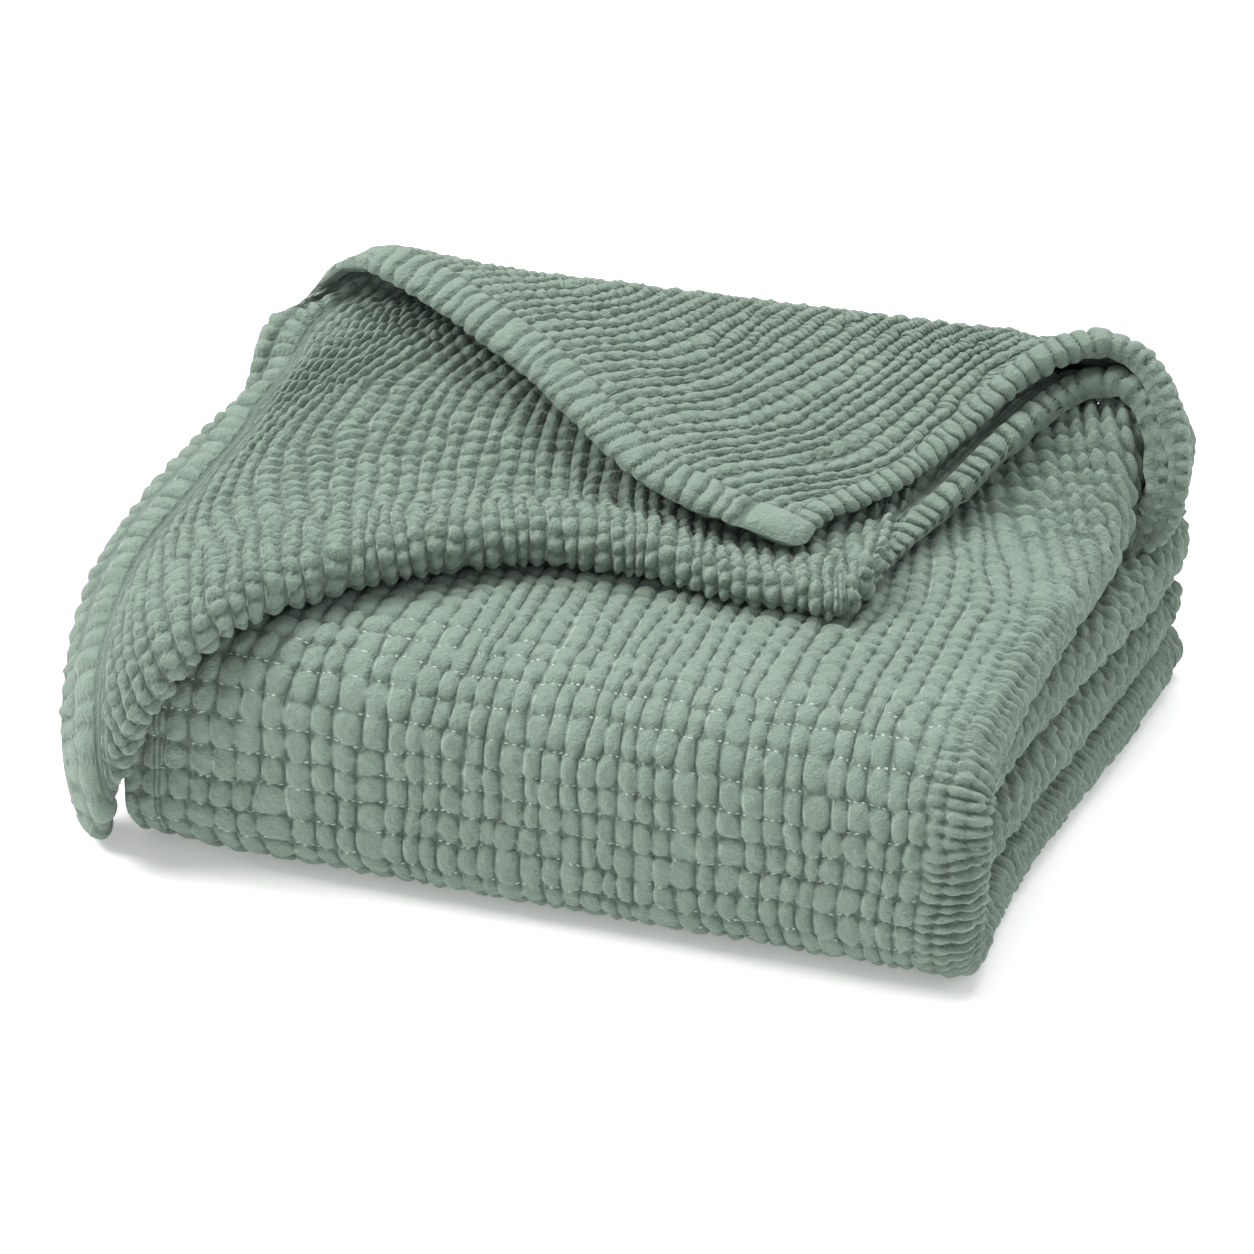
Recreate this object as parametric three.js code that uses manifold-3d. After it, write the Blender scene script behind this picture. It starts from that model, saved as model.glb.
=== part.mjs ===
import * as THREE from 'three';
import Module from 'manifold-3d';

// Cotton gauze throw, folded in four both ways, with one corner turned over on top.
// Millimetres, Z up, X along the width of the bundle, front towards -Y.

// Cloth
const CLOTH = 4.5; // thickness of the puckered layers together
const HEM_EXTRA = 1.2; // added thickness where the free hems are turned
const HEM_WIDTH = 20;
const HEM_EASE = 0.6; // share of the hem at its full thickness

// Packs of four layers each, two wide loops at the right end of every pack
const LAYER_PITCH = 7.4;
const PACK_PITCH = 28.7;
const OUTER_LOOP = 1.5 * LAYER_PITCH;
const INNER_LOOP = 0.5 * LAYER_PITCH;
const PACK_HALF = OUTER_LOOP + CLOTH / 2;

// The pack runs bottom, front, top, back fold, inner top, inner front loop, inner bottom
const BACK_START = 152;
const BOTTOM_RUN = 268;
const LOWER_CORNER = 17;
const UPPER_CORNER = 27;
const FRONT_RUN = 3 * PACK_PITCH - LOWER_CORNER - UPPER_CORNER;
const TOP_RUN = 244;
const INNER_FOLD = PACK_PITCH / 2;
const INNER_TOP_RUN = 226;
const INNER_BOTTOM_RUN = 236;
const BODY_TOP = 3 * PACK_PITCH + 2 * PACK_HALF;

const PACK_RUNS = [
  { length: BOTTOM_RUN, steps: 3 },
  { radius: LOWER_CORNER, turn: -90, steps: 3 },
  { length: FRONT_RUN, steps: 2 },
  { radius: UPPER_CORNER, turn: -90, steps: 4 },
  { length: TOP_RUN, steps: 6 },
  { radius: INNER_FOLD, turn: -180, steps: 5 },
  { length: INNER_TOP_RUN, steps: 4 },
  { radius: INNER_FOLD, turn: 180, steps: 4 },
  { length: INNER_BOTTOM_RUN, steps: 3 },
];

// Ends of the packs along X, by distance along the pack
const PACK_ENDS = [
  { at: 0, left: -184, right: 178 },
  { at: 270, left: -182, right: 184 },
  { at: 375, left: -179, right: 183 },
  { at: 450, left: -181, right: 179 },
  { at: 540, left: -179, right: 168 },
  { at: 620, left: -178, right: 162 },
  { at: 665, left: -172, right: 178 },
  { at: 890, left: -176, right: 174 },
  { at: 935, left: -170, right: 178 },
  { at: 1170, left: -178, right: 178 },
];
const TOP_HEM_OUT = 10; // outermost layer reaches further left
const SECOND_HEM_IN = 9; // the layer under it stops short
const SIDE_STEPS = 5;
const WIDE_STEPS = 5;
const TIGHT_STEPS = 3;

// How the bundle settles: how far, and between which places it eases in
const SKEW = 44; // right end is further out at the back
const SKEW_X = [-150, 200];
const SKEW_Y = [-110, 170];
const RISE = 35; // cloth gathered under the turned corner
const RISE_X = [-215, -120];
const RISE_Y = [66, 165];
const RISE_FLOOR = 2 * PACK_PITCH; // the two lower packs lie flat
const RISE_POWER = 2.2; // the top layers rise most
const ARCH_LIFT = 0.22; // a little more under the arch at the right
const ARCH_X = [130, 185];
const PINCH = 0.25; // the right end of the gathered cloth draws in
const PINCH_X = [120, 200];
const CORNER_DROP = 4; // front right corner is pressed down
const DROP_X = [70, 190];
const DROP_Y = [-110, 10];
const LEFT_DRAW = 4; // front left corner is drawn in under the turned cloth
const DRAW_X = [-190, -130];
const FRONT_Y = [-60, 60]; // reach of the unevenness of the front
const WAVE = 1.6; // slow unevenness of the top, with its lengths and starts
const WAVE_X = 47;
const WAVE_Y = 61;
const WAVE_START = [0.6, -0.4];
const BULGE = 1.8; // slow unevenness of the front
const BULGE_X = 70;
const BULGE_Z = 21;
const END_BULGE = 1.5; // slow unevenness of the right end
const END_BULGE_Y = 55;
const END_BULGE_Z = 17;
const FOOT_Z = [8, 40]; // the lowest cloth stays in line

// Lines of the turned corner, by distance from its left hem
const FRONT_EDGE = [
  { at: 0, x: -219, y: -129, z: 8, roll: 5.8, lean: 90, list: 0, open: 0 },
  { at: 22, x: -203, y: -141, z: 8.4, roll: 5.8, lean: 90, list: 0, open: 0 },
  { at: 45, x: -193, y: -155, z: 32, roll: 6, lean: 90, list: 0, open: 0 },
  { at: 70, x: -182, y: -155.5, z: 60, roll: 6.2, lean: 85, list: 0, open: 0 },
  { at: 98, x: -165, y: -154, z: 95, roll: 7, lean: 62, list: 0, open: 0 },
  { at: 128, x: -141, y: -134, z: 123, roll: 9, lean: 22, list: 0, open: 0 },
  { at: 160, x: -115, y: -101, z: 129, roll: 10, lean: 0, list: 0, open: 0 },
  { at: 200, x: -80, y: -66, z: 128.5, roll: 10.5, lean: 0, list: 0, open: 0 },
  { at: 250, x: -30, y: -38, z: 128, roll: 10.5, lean: 0, list: 0, open: 0 },
  { at: 300, x: 18, y: -35, z: 127, roll: 9, lean: 0, list: 0, open: 0 },
  { at: 345, x: 62, y: -40, z: 123, roll: 5.8, lean: 0, list: 0, open: 0 },
  { at: 372, x: 90, y: -38, z: 121.5, roll: 5.4, lean: 0, list: 0, open: 0 },
  { at: 400, x: 112, y: -36, z: 120.5, roll: 5.4, lean: 0, list: 0, open: 0 },
  { at: 425, x: 120, y: 4, z: 119, roll: 4, lean: 6, list: 0, open: 1 },
  { at: 450, x: 131, y: 42, z: 120, roll: 4, lean: 14, list: 0, open: 1 },
  { at: 475, x: 142, y: 70, z: 125.5, roll: 4, lean: 18, list: 0, open: 1 },
  { at: 500, x: 156, y: 102, z: 134.5, roll: 4, lean: 23, list: 0, open: 1 },
  { at: 525, x: 172, y: 128, z: 146, roll: 4, lean: 14, list: 0, open: 1 },
  { at: 545, x: 186, y: 138, z: 153, roll: 4, lean: 0, list: 0, open: 1 },
  { at: 565, x: 203, y: 136, z: 153, roll: 4, lean: 0, list: 0, open: 1 },
  { at: 585, x: 216, y: 125, z: 141, roll: 4, lean: 0, list: 0, open: 1 },
  { at: 605, x: 222, y: 113, z: 121, roll: 4, lean: 0, list: 0, open: 1 },
  { at: 625, x: 220, y: 107, z: 105, roll: 4, lean: 0, list: 0, open: 1 },
  { at: 632, x: 216, y: 107, z: 99, roll: 4, lean: 0, list: 0, open: 1 },
  { at: 640, x: 211, y: 106, z: 96, roll: 4, lean: 0, list: 0, open: 1 },
];

const HOLLOW = [
  { at: 0, x: -240, y: -74, z: 79 },
  { at: 60, x: -216, y: -84, z: 108 },
  { at: 128, x: -172, y: -55, z: 131 },
  { at: 200, x: -94, y: -12, z: 130 },
  { at: 300, x: 0, y: 18, z: 124 },
  { at: 345, x: 46, y: 2, z: 120.5 },
  { at: 372, x: 70, y: 8, z: 120 },
  { at: 400, x: 97, y: 30, z: 120.5 },
  { at: 412, x: 106, y: 42, z: 122 },
  { at: 425, x: 114, y: 62, z: 125 },
  { at: 450, x: 126, y: 78, z: 129 },
  { at: 475, x: 137, y: 103, z: 136 },
  { at: 500, x: 151, y: 124, z: 144 },
  { at: 525, x: 168, y: 144, z: 150 },
  { at: 545, x: 185, y: 151, z: 152 },
  { at: 565, x: 204, y: 149, z: 150 },
  { at: 585, x: 216, y: 139, z: 140 },
  { at: 605, x: 222, y: 129, z: 121 },
  { at: 625, x: 220, y: 124, z: 105 },
  { at: 632, x: 216, y: 123, z: 99 },
  { at: 640, x: 211, y: 122, z: 97 },
];

const SWELL = [
  { at: 0, x: -221, y: 10, z: 121, pushX: 6, pushY: -2, pushZ: -7 },
  { at: 60, x: -192, y: 28, z: 140, pushX: 0, pushY: 2, pushZ: 4 },
  { at: 128, x: -154, y: 48, z: 146, pushX: 0, pushY: 0, pushZ: 2 },
  { at: 200, x: -90, y: 68, z: 144, pushX: 0, pushY: 0, pushZ: 0 },
  { at: 300, x: 0, y: 84, z: 142, pushX: 0, pushY: 0, pushZ: 0 },
  { at: 400, x: 90, y: 98, z: 139, pushX: 0, pushY: 0, pushZ: 0 },
  { at: 450, x: 120, y: 116, z: 143, pushX: 0, pushY: 0, pushZ: 0 },
  { at: 475, x: 134, y: 130, z: 146, pushX: 0, pushY: 0, pushZ: 0 },
  { at: 500, x: 149, y: 144, z: 148, pushX: 0, pushY: 0, pushZ: 0 },
  { at: 525, x: 168, y: 154, z: 148, pushX: 0, pushY: 0, pushZ: 0 },
  { at: 545, x: 186, y: 159, z: 147, pushX: 0, pushY: 0, pushZ: 0 },
  { at: 565, x: 205, y: 158, z: 144, pushX: 0, pushY: 0, pushZ: 0 },
  { at: 585, x: 216, y: 151, z: 135, pushX: 0, pushY: 0, pushZ: 0 },
  { at: 605, x: 222, y: 146, z: 120, pushX: 0, pushY: 0, pushZ: 0 },
  { at: 625, x: 220, y: 142, z: 105, pushX: 0, pushY: 0, pushZ: 0 },
  { at: 632, x: 216, y: 140, z: 99, pushX: 0, pushY: 0, pushZ: 0 },
  { at: 640, x: 211, y: 139, z: 97, pushX: 0, pushY: 0, pushZ: 0 },
];

const CREST = [
  { at: 0, x: -186, y: 98, z: 180, fold: 16, list: 0 },
  { at: 25, x: -168, y: 109, z: 185.5, fold: 15, list: 0 },
  { at: 60, x: -139, y: 121, z: 179, fold: 11, list: 0 },
  { at: 128, x: -104, y: 128, z: 174.5, fold: 8.5, list: 0 },
  { at: 200, x: -42, y: 136, z: 171.5, fold: 8.5, list: 0 },
  { at: 300, x: 32, y: 141, z: 170, fold: 8.5, list: 0 },
  { at: 400, x: 92, y: 146, z: 168.5, fold: 8, list: 0 },
  { at: 450, x: 122, y: 150, z: 167, fold: 8, list: 0 },
  { at: 475, x: 138, y: 156, z: 165, fold: 7.5, list: 0 },
  { at: 500, x: 152, y: 160, z: 160, fold: 7.5, list: 0 },
  { at: 525, x: 169, y: 166, z: 154, fold: 8, list: 5 },
  { at: 545, x: 186, y: 170, z: 148.5, fold: 9, list: 15 },
  { at: 565, x: 205, y: 171, z: 142.5, fold: 8.5, list: 40 },
  { at: 585, x: 221, y: 168, z: 131, fold: 6, list: 68 },
  { at: 605, x: 228, y: 166, z: 117, fold: 4.5, list: 88 },
  { at: 625, x: 228, y: 158, z: 104, fold: 4, list: 105 },
  { at: 632, x: 222, y: 157, z: 94, fold: 4, list: 135 },
  { at: 640, x: 210, y: 156, z: 87, fold: 4.6, list: 185 },
];

const FREE_EDGE = [
  { at: 0, x: 84, y: -9, z: 129.5, bowX: 9, bowY: -16, bowZ: -2.5 },
  { at: 60, x: 87, y: 18, z: 130, bowX: 0, bowY: -8, bowZ: 2 },
  { at: 128, x: 99, y: 34, z: 131, bowX: 0, bowY: 0, bowZ: 3 },
  { at: 200, x: 112, y: 48, z: 134, bowX: 0, bowY: 0, bowZ: 3 },
  { at: 300, x: 127, y: 74, z: 139, bowX: 0, bowY: 0, bowZ: 3 },
  { at: 400, x: 141, y: 102, z: 147, bowX: 0, bowY: 0, bowZ: 3 },
  { at: 450, x: 151, y: 116, z: 155, bowX: 0, bowY: 0, bowZ: 2 },
  { at: 475, x: 158, y: 124, z: 160, bowX: 0, bowY: 0, bowZ: 4 },
  { at: 500, x: 168, y: 131, z: 166, bowX: 0, bowY: -1, bowZ: 6 },
  { at: 525, x: 180, y: 138, z: 169.5, bowX: 0, bowY: -2, bowZ: 9 },
  { at: 545, x: 192, y: 142, z: 171, bowX: 0, bowY: -2, bowZ: 9 },
  { at: 565, x: 208, y: 139, z: 167, bowX: 1, bowY: -1, bowZ: 6 },
  { at: 585, x: 222, y: 128, z: 151, bowX: 1, bowY: 0, bowZ: 2 },
  { at: 605, x: 229, y: 116, z: 132, bowX: 1, bowY: 0, bowZ: 0 },
  { at: 625, x: 229, y: 108, z: 109, bowX: 1, bowY: 0, bowZ: 0 },
  { at: 632, x: 222, y: 107, z: 94, bowX: 0, bowY: 0, bowZ: 0 },
  { at: 640, x: 208, y: 105, z: 86, bowX: 0, bowY: 0, bowZ: 0 },
];

// How the side hem sways on its way from the crest to the free edge
const SWAY = [
  { at: 0, x: -3, y: 11, z: 2.2 },
  { at: 60, x: 0, y: 4, z: 1 },
  { at: 128, x: 0, y: 0, z: 0 },
  { at: 640, x: 0, y: 0, z: 0 },
];

const ROLL_STEPS = 5;
const HEM_PACE = 2.4; // step across an open hem
const HEM_SHARE = 10; // an open hem stays well short of the hollow
const TUCK_MIN = 4;
const TUCK_MAX = 26;
const TUCK_ROLL = [4, 10]; // wide rolls take in more cloth
const TUCK_STEPS = 2;
const FOLD_STEPS = 4;
const UNDER_STEPS = [4, 4, 3, 3];
const OVER_STEPS = [4, 3, 3];
const BOW_SHARE = 0.9; // at a third and two thirds of the way
const FLAP_STATIONS = [0, 11, 22, 45, 70, 98, 128, 160, 200, 225, 250, 275, 300, 322, 345,
  372, 400, 408, 416, 425, 450, 475, 500, 525, 545, 565, 585, 605, 625, 632, 640];

const SAGE = 0x83988a;

const rad = (deg) => (deg * Math.PI) / 180;
const mix = (a, b, t) => a + (b - a) * t;
const chord = (radius, turn) => 2 * radius * Math.sin(rad(Math.abs(turn) / 2));
const ease = ([from, to], v) => {
  const t = Math.min(1, Math.max(0, (v - from) / (to - from)));
  return t * t * (3 - 2 * t);
};

// Value of one column of a table, eased between its rows
function column(table, name, at) {
  const last = table.length - 1;
  let i = 0;
  while (i < last - 1 && table[i + 1].at <= at) i += 1;
  const slope = (k) => {
    const a = table[Math.max(0, k - 1)];
    const b = table[Math.min(last, k + 1)];
    return (b[name] - a[name]) / (b.at - a.at);
  };
  const p = table[i];
  const q = table[i + 1];
  const span = q.at - p.at;
  const t = Math.min(1, Math.max(0, (at - p.at) / span));
  const t2 = t * t;
  const t3 = t2 * t;
  return (2 * t3 - 3 * t2 + 1) * p[name] + (t3 - 2 * t2 + t) * span * slope(i)
    + (3 * t2 - 2 * t3) * q[name] + (t3 - t2) * span * slope(i + 1);
}

const rowPoint = (table, at) => new THREE.Vector3(
  column(table, 'x', at), column(table, 'y', at), column(table, 'z', at));

// Stations of the middle of the pack in the Y-Z plane
function packPath() {
  let y = BACK_START;
  let z = PACK_HALF;
  let heading = 180;
  let along = 0;
  const stations = [{ y, z, heading, along }];
  for (const run of PACK_RUNS) {
    const turn = run.turn || 0;
    for (let k = 0; k < run.steps; k += 1) {
      const angle = turn / run.steps;
      const length = run.length ? run.length / run.steps : chord(run.radius, angle);
      const way = heading + angle / 2;
      y += length * Math.cos(rad(way));
      z += length * Math.sin(rad(way));
      heading += angle;
      along += length;
      stations.push({ y, z, heading, along });
    }
  }
  return stations;
}

// Stations of the four layers across a pack, in X and in offset from its middle
function layerPath() {
  const stations = [];
  const across = (from, to, offset, way, stretch) => {
    for (let k = 0; k <= SIDE_STEPS; k += 1) {
      const share = mix(from, to, k / SIDE_STEPS);
      stations.push({ share, out: 0, offset, nx: 0, no: way, stretch: stretch * (1 - share) });
    }
  };
  const loop = (share, centre, radius, side, from, steps) => {
    for (let k = 1; k < steps; k += 1) {
      const angle = rad(from - (Math.sign(from) * 180 * k) / steps);
      stations.push({
        share,
        out: side * radius * Math.cos(angle),
        offset: centre + radius * Math.sin(angle),
        nx: side * Math.cos(angle) * Math.sign(from) * side,
        no: Math.sin(angle) * Math.sign(from) * side,
        stretch: 0,
      });
    }
  };
  across(0, 1, OUTER_LOOP, 1, -TOP_HEM_OUT);
  loop(1, 0, OUTER_LOOP, 1, 90, WIDE_STEPS);
  across(1, 0, -OUTER_LOOP, -1, 0);
  loop(0, -LAYER_PITCH, INNER_LOOP, -1, -90, TIGHT_STEPS);
  across(0, 1, -INNER_LOOP, 1, 0);
  loop(1, 0, INNER_LOOP, 1, -90, TIGHT_STEPS);
  across(1, 0, INNER_LOOP, -1, SECOND_HEM_IN);
  return stations;
}

// Settling of the whole bundle, the same for every layer so that none cross
function settle(x, y, z) {
  const up = z / BODY_TOP;
  const rightward = ease(SKEW_X, x);
  const gather = ease(RISE_Y, y) * ease(RISE_X, x) * (1 + ARCH_LIFT * ease(ARCH_X, x));
  const above = Math.max(0, (z - RISE_FLOOR) / (BODY_TOP - RISE_FLOOR));
  const rise = RISE * gather * above ** RISE_POWER;
  const pinch = PINCH * rise * ease(PINCH_X, x);
  const drop = CORNER_DROP * up * ease(DROP_X, x) * (1 - ease(DROP_Y, y));
  const wave = WAVE * up * Math.sin(x / WAVE_X + WAVE_START[0]) * Math.cos(y / WAVE_Y + WAVE_START[1]);
  const bulge = BULGE * Math.sin(z / BULGE_Z + x / BULGE_X) * ease(FOOT_Z, z);
  const endBulge = END_BULGE * Math.sin(z / END_BULGE_Z + y / END_BULGE_Y) * rightward * ease(FOOT_Z, z);
  const draw = LEFT_DRAW * (1 - ease(DRAW_X, x));
  return [
    x - pinch + SKEW * rightward * ease(SKEW_Y, y) + endBulge,
    y + (bulge + draw) * (1 - ease(FRONT_Y, y)),
    z + rise - drop + wave,
  ];
}

// Closed skin round a grid of points: upper side, lower side and the four edges
function skin(upper, lower) {
  const rows = upper.length;
  const cols = upper[0].length;
  const positions = [];
  const faces = [];
  for (const side of [upper, lower]) {
    for (const row of side) for (const p of row) positions.push(p[0], p[1], p[2]);
  }
  const id = (side, i, j) => side * rows * cols + i * cols + j;
  const quad = (a, b, c, d) => faces.push(a, b, c, a, c, d);
  for (let i = 0; i < rows - 1; i += 1) {
    for (let j = 0; j < cols - 1; j += 1) {
      quad(id(0, i, j), id(0, i, j + 1), id(0, i + 1, j + 1), id(0, i + 1, j));
      quad(id(1, i, j), id(1, i + 1, j), id(1, i + 1, j + 1), id(1, i, j + 1));
    }
  }
  for (let i = 0; i < rows - 1; i += 1) {
    quad(id(0, i, 0), id(0, i + 1, 0), id(1, i + 1, 0), id(1, i, 0));
    quad(id(0, i + 1, cols - 1), id(0, i, cols - 1), id(1, i, cols - 1), id(1, i + 1, cols - 1));
  }
  for (let j = 0; j < cols - 1; j += 1) {
    quad(id(0, 0, j + 1), id(0, 0, j), id(1, 0, j), id(1, 0, j + 1));
    quad(id(0, rows - 1, j), id(0, rows - 1, j + 1), id(1, rows - 1, j + 1), id(1, rows - 1, j));
  }
  return { positions, faces };
}

function bundleSkin() {
  const packs = packPath();
  const layers = layerPath();
  const sides = [1, -1].map((side) => packs.map((pack) => layers.map((layer) => {
    const left = column(PACK_ENDS, 'left', pack.along);
    const right = column(PACK_ENDS, 'right', pack.along);
    const reach = (side * CLOTH) / 2;
    const x = mix(left, right, layer.share) + layer.out + layer.stretch + reach * layer.nx;
    const offset = layer.offset + reach * layer.no;
    const y = pack.y - offset * Math.sin(rad(pack.heading));
    const z = pack.z + offset * Math.cos(rad(pack.heading));
    return settle(x, y, z);
  })));
  return skin(sides[0], sides[1]);
}

// Smooth run through the points, leaving along first and arriving along last
function through(points, first, last, steps) {
  const out = [];
  for (let i = 0; i < points.length - 1; i += 1) {
    const a = points[i];
    const b = points[i + 1];
    const span = a.distanceTo(b);
    const tangent = (k) => {
      if (k === 0) return first.clone();
      if (k === points.length - 1) return last.clone();
      const before = points[k].distanceTo(points[k - 1]);
      const after = points[k + 1].distanceTo(points[k]);
      const into = points[k].clone().sub(points[k - 1]).divideScalar(before);
      const away = points[k + 1].clone().sub(points[k]).divideScalar(after);
      return into.multiplyScalar(after).add(away.multiplyScalar(before)).divideScalar(before + after);
    };
    const m0 = tangent(i).multiplyScalar(span);
    const m1 = tangent(i + 1).multiplyScalar(span);
    for (let k = 1; k <= steps[i]; k += 1) {
      const t = k / steps[i];
      const t2 = t * t;
      const t3 = t2 * t;
      out.push(a.clone().multiplyScalar(2 * t3 - 3 * t2 + 1)
        .addScaledVector(m0, t3 - 2 * t2 + t)
        .addScaledVector(b, 3 * t2 - 2 * t3)
        .addScaledVector(m1, t3 - t2));
    }
  }
  return out;
}

// Half circle round a centre, from the inner side over the tip to the outer side, drifting aside
function halfTurn(centre, radius, tip, out, aside) {
  const points = [];
  for (let k = 0; k <= FOLD_STEPS; k += 1) {
    const angle = rad(-90 + (180 * k) / FOLD_STEPS);
    points.push(centre.clone().addScaledVector(tip, radius * Math.cos(angle))
      .addScaledVector(out, radius * Math.sin(angle))
      .addScaledVector(aside, radius * angle));
  }
  return points;
}

const flatWay = (from, to) => {
  const way = to.clone().sub(from);
  way.z = 0;
  return way.normalize();
};

const square = (way, out) => way.clone().addScaledVector(out, -way.dot(out)).normalize();

// The edge from its tucked end over the front of the roll to its top, flatter where it opens
function rolledEdge(edge, inward, out, { roll, tuck, open, pace }) {
  const profile = [[0, 0]];
  let heading = 180;
  let across = 0;
  let up = 0;
  const walk = (length) => {
    across += length * Math.cos(rad(heading));
    up -= length * Math.sin(rad(heading));
    profile.push([across, up]);
  };
  const turn = (180 * (1 - open)) / ROLL_STEPS;
  for (let k = 0; k < ROLL_STEPS; k += 1) {
    heading -= turn / 2;
    walk(mix((Math.PI * roll) / ROLL_STEPS, pace, open));
    heading -= turn / 2;
  }
  for (let k = 0; k < TUCK_STEPS; k += 1) walk(mix(tuck / TUCK_STEPS, pace, open));
  const front = Math.min(...profile.map((p) => p[0]));
  const under = Math.min(...profile.map((p) => p[1]));
  return profile.reverse().map(([a, b]) => edge.clone().addScaledVector(inward, a - front)
    .addScaledVector(out, b - under - roll * (1 - open)));
}

// One line of the turned corner, from its tuck to its free edge
function flapLine(at) {
  const edge = rowPoint(FRONT_EDGE, at);
  const roll = column(FRONT_EDGE, 'roll', at);
  const lean = rad(column(FRONT_EDGE, 'lean', at));
  const list = rad(column(FRONT_EDGE, 'list', at));
  const hollow = rowPoint(HOLLOW, at);
  const swell = rowPoint(SWELL, at);
  const push = new THREE.Vector3(column(SWELL, 'pushX', at), column(SWELL, 'pushY', at),
    column(SWELL, 'pushZ', at));
  const crest = rowPoint(CREST, at);
  const fold = column(CREST, 'fold', at);
  const tilt = rad(column(CREST, 'list', at));
  const free = rowPoint(FREE_EDGE, at);
  const bow = new THREE.Vector3(column(FREE_EDGE, 'bowX', at), column(FREE_EDGE, 'bowY', at),
    column(FREE_EDGE, 'bowZ', at));
  const sway = rowPoint(SWAY, at);

  const out = new THREE.Vector3(
    Math.sin(list), -Math.sin(lean), Math.cos(lean) * Math.cos(list)).normalize();
  const open = column(FRONT_EDGE, 'open', at);
  const toHollow = hollow.clone().sub(edge).normalize();
  const inward = square(toHollow, out);
  const line = rolledEdge(edge, inward, out, {
    roll,
    tuck: mix(TUCK_MIN, TUCK_MAX, ease(TUCK_ROLL, roll)),
    open,
    pace: Math.min(HEM_PACE, edge.distanceTo(hollow) / HEM_SHARE),
  });

  const over = new THREE.Vector3(Math.sin(tilt), 0, Math.cos(tilt));
  const arriving = flatWay(swell, crest);
  const leaving = flatWay(crest, crest.clone().lerp(free, 0.5).add(bow));
  const back = square(arriving.clone().sub(leaving), over);
  const beside = back.clone().cross(over);
  const slant = arriving.clone().add(leaving).dot(beside) / arriving.distanceTo(leaving);
  const aside = beside.multiplyScalar(slant);
  const turned = halfTurn(crest.clone().addScaledVector(over, -fold), fold, back, over, aside);
  const shoulder = swell.clone().lerp(turned[0], 0.5).add(push);
  const underside = [line[line.length - 1], hollow, swell, shoulder, turned[0]];
  line.push(...through(underside, inward, back.clone().add(aside).normalize(), UNDER_STEPS));
  line.push(...turned.slice(1));

  const top = turned[FOLD_STEPS];
  const near = top.clone().lerp(free, 1 / 3).addScaledVector(bow, BOW_SHARE).add(sway);
  const far = top.clone().lerp(free, 2 / 3).addScaledVector(bow, BOW_SHARE).sub(sway);
  const away = aside.clone().sub(back).normalize();
  const toFree = free.clone().sub(far).normalize();
  line.push(...through([top, near, far, free], away, toFree, OVER_STEPS));
  return line;
}

// Distance from the free hems, for their added thickness
function hemShare(lines, i, j) {
  const last = lines[i].length - 1;
  const toFree = lines[i][j].distanceTo(lines[i][last]);
  const toSide = lines[i][j].distanceTo(lines[0][j]);
  return 1 - ease([HEM_EASE * HEM_WIDTH, HEM_WIDTH], Math.min(toFree, toSide));
}

function flapSkin() {
  const lines = FLAP_STATIONS.map(flapLine);
  const rows = lines.length;
  const cols = lines[0].length;
  const side = (way) => lines.map((line, i) => line.map((p, j) => {
    const alongRow = lines[Math.min(rows - 1, i + 1)][j].clone().sub(lines[Math.max(0, i - 1)][j]);
    const alongLine = line[Math.min(cols - 1, j + 1)].clone().sub(line[Math.max(0, j - 1)]);
    const normal = alongRow.cross(alongLine).normalize();
    const half = (CLOTH + HEM_EXTRA * hemShare(lines, i, j)) / 2;
    const q = p.clone().addScaledVector(normal, way * half);
    return [q.x, q.y, q.z];
  }));
  return skin(side(-1), side(1));
}

const wasm = await Module();
wasm.setup();

function solidFrom({ positions, faces }) {
  const mesh = new wasm.Mesh({
    numProp: 3,
    vertProperties: new Float32Array(positions),
    triVerts: new Uint32Array(faces),
  });
  return new wasm.Manifold(mesh);
}

function geometryFrom(solid) {
  const mesh = solid.getMesh();
  const points = new Float32Array(mesh.numVert * 3);
  for (let i = 0; i < mesh.numVert; i += 1) {
    for (let k = 0; k < 3; k += 1) points[3 * i + k] = mesh.vertProperties[mesh.numProp * i + k];
  }
  const geometry = new THREE.BufferGeometry();
  geometry.setAttribute('position', new THREE.BufferAttribute(points, 3));
  geometry.setIndex(new THREE.BufferAttribute(new Uint32Array(mesh.triVerts), 1));
  geometry.computeBoundingBox();
  const middle = geometry.boundingBox.getCenter(new THREE.Vector3());
  geometry.translate(-middle.x, -middle.y, -geometry.boundingBox.min.z);
  geometry.computeVertexNormals();
  return geometry;
}

const bundle = solidFrom(bundleSkin());
const corner = solidFrom(flapSkin());
const joined = bundle.add(corner).decompose();
const throwSolid = joined.reduce((a, b) => (b.volume() > a.volume() ? b : a));

const material = new THREE.MeshStandardMaterial({ color: SAGE, roughness: 0.95, metalness: 0 });
const mesh = new THREE.Mesh(geometryFrom(throwSolid), material);
mesh.name = 'throw';

const group = new THREE.Group();
group.name = 'gauze_throw';
group.add(mesh);

export default group;
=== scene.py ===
import math

import bpy
import numpy as np
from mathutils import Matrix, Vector


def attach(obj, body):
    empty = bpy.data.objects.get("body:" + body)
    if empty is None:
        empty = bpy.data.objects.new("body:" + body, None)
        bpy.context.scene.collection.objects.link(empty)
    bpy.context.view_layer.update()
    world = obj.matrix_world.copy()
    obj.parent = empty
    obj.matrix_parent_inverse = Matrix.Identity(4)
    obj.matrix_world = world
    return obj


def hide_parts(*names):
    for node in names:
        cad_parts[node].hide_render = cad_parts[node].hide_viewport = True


# Puckered cotton gauze throw, folded in a bundle, with one corner turned over on top.
# Shapes are worked out in millimetres and handed over in metres.

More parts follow.
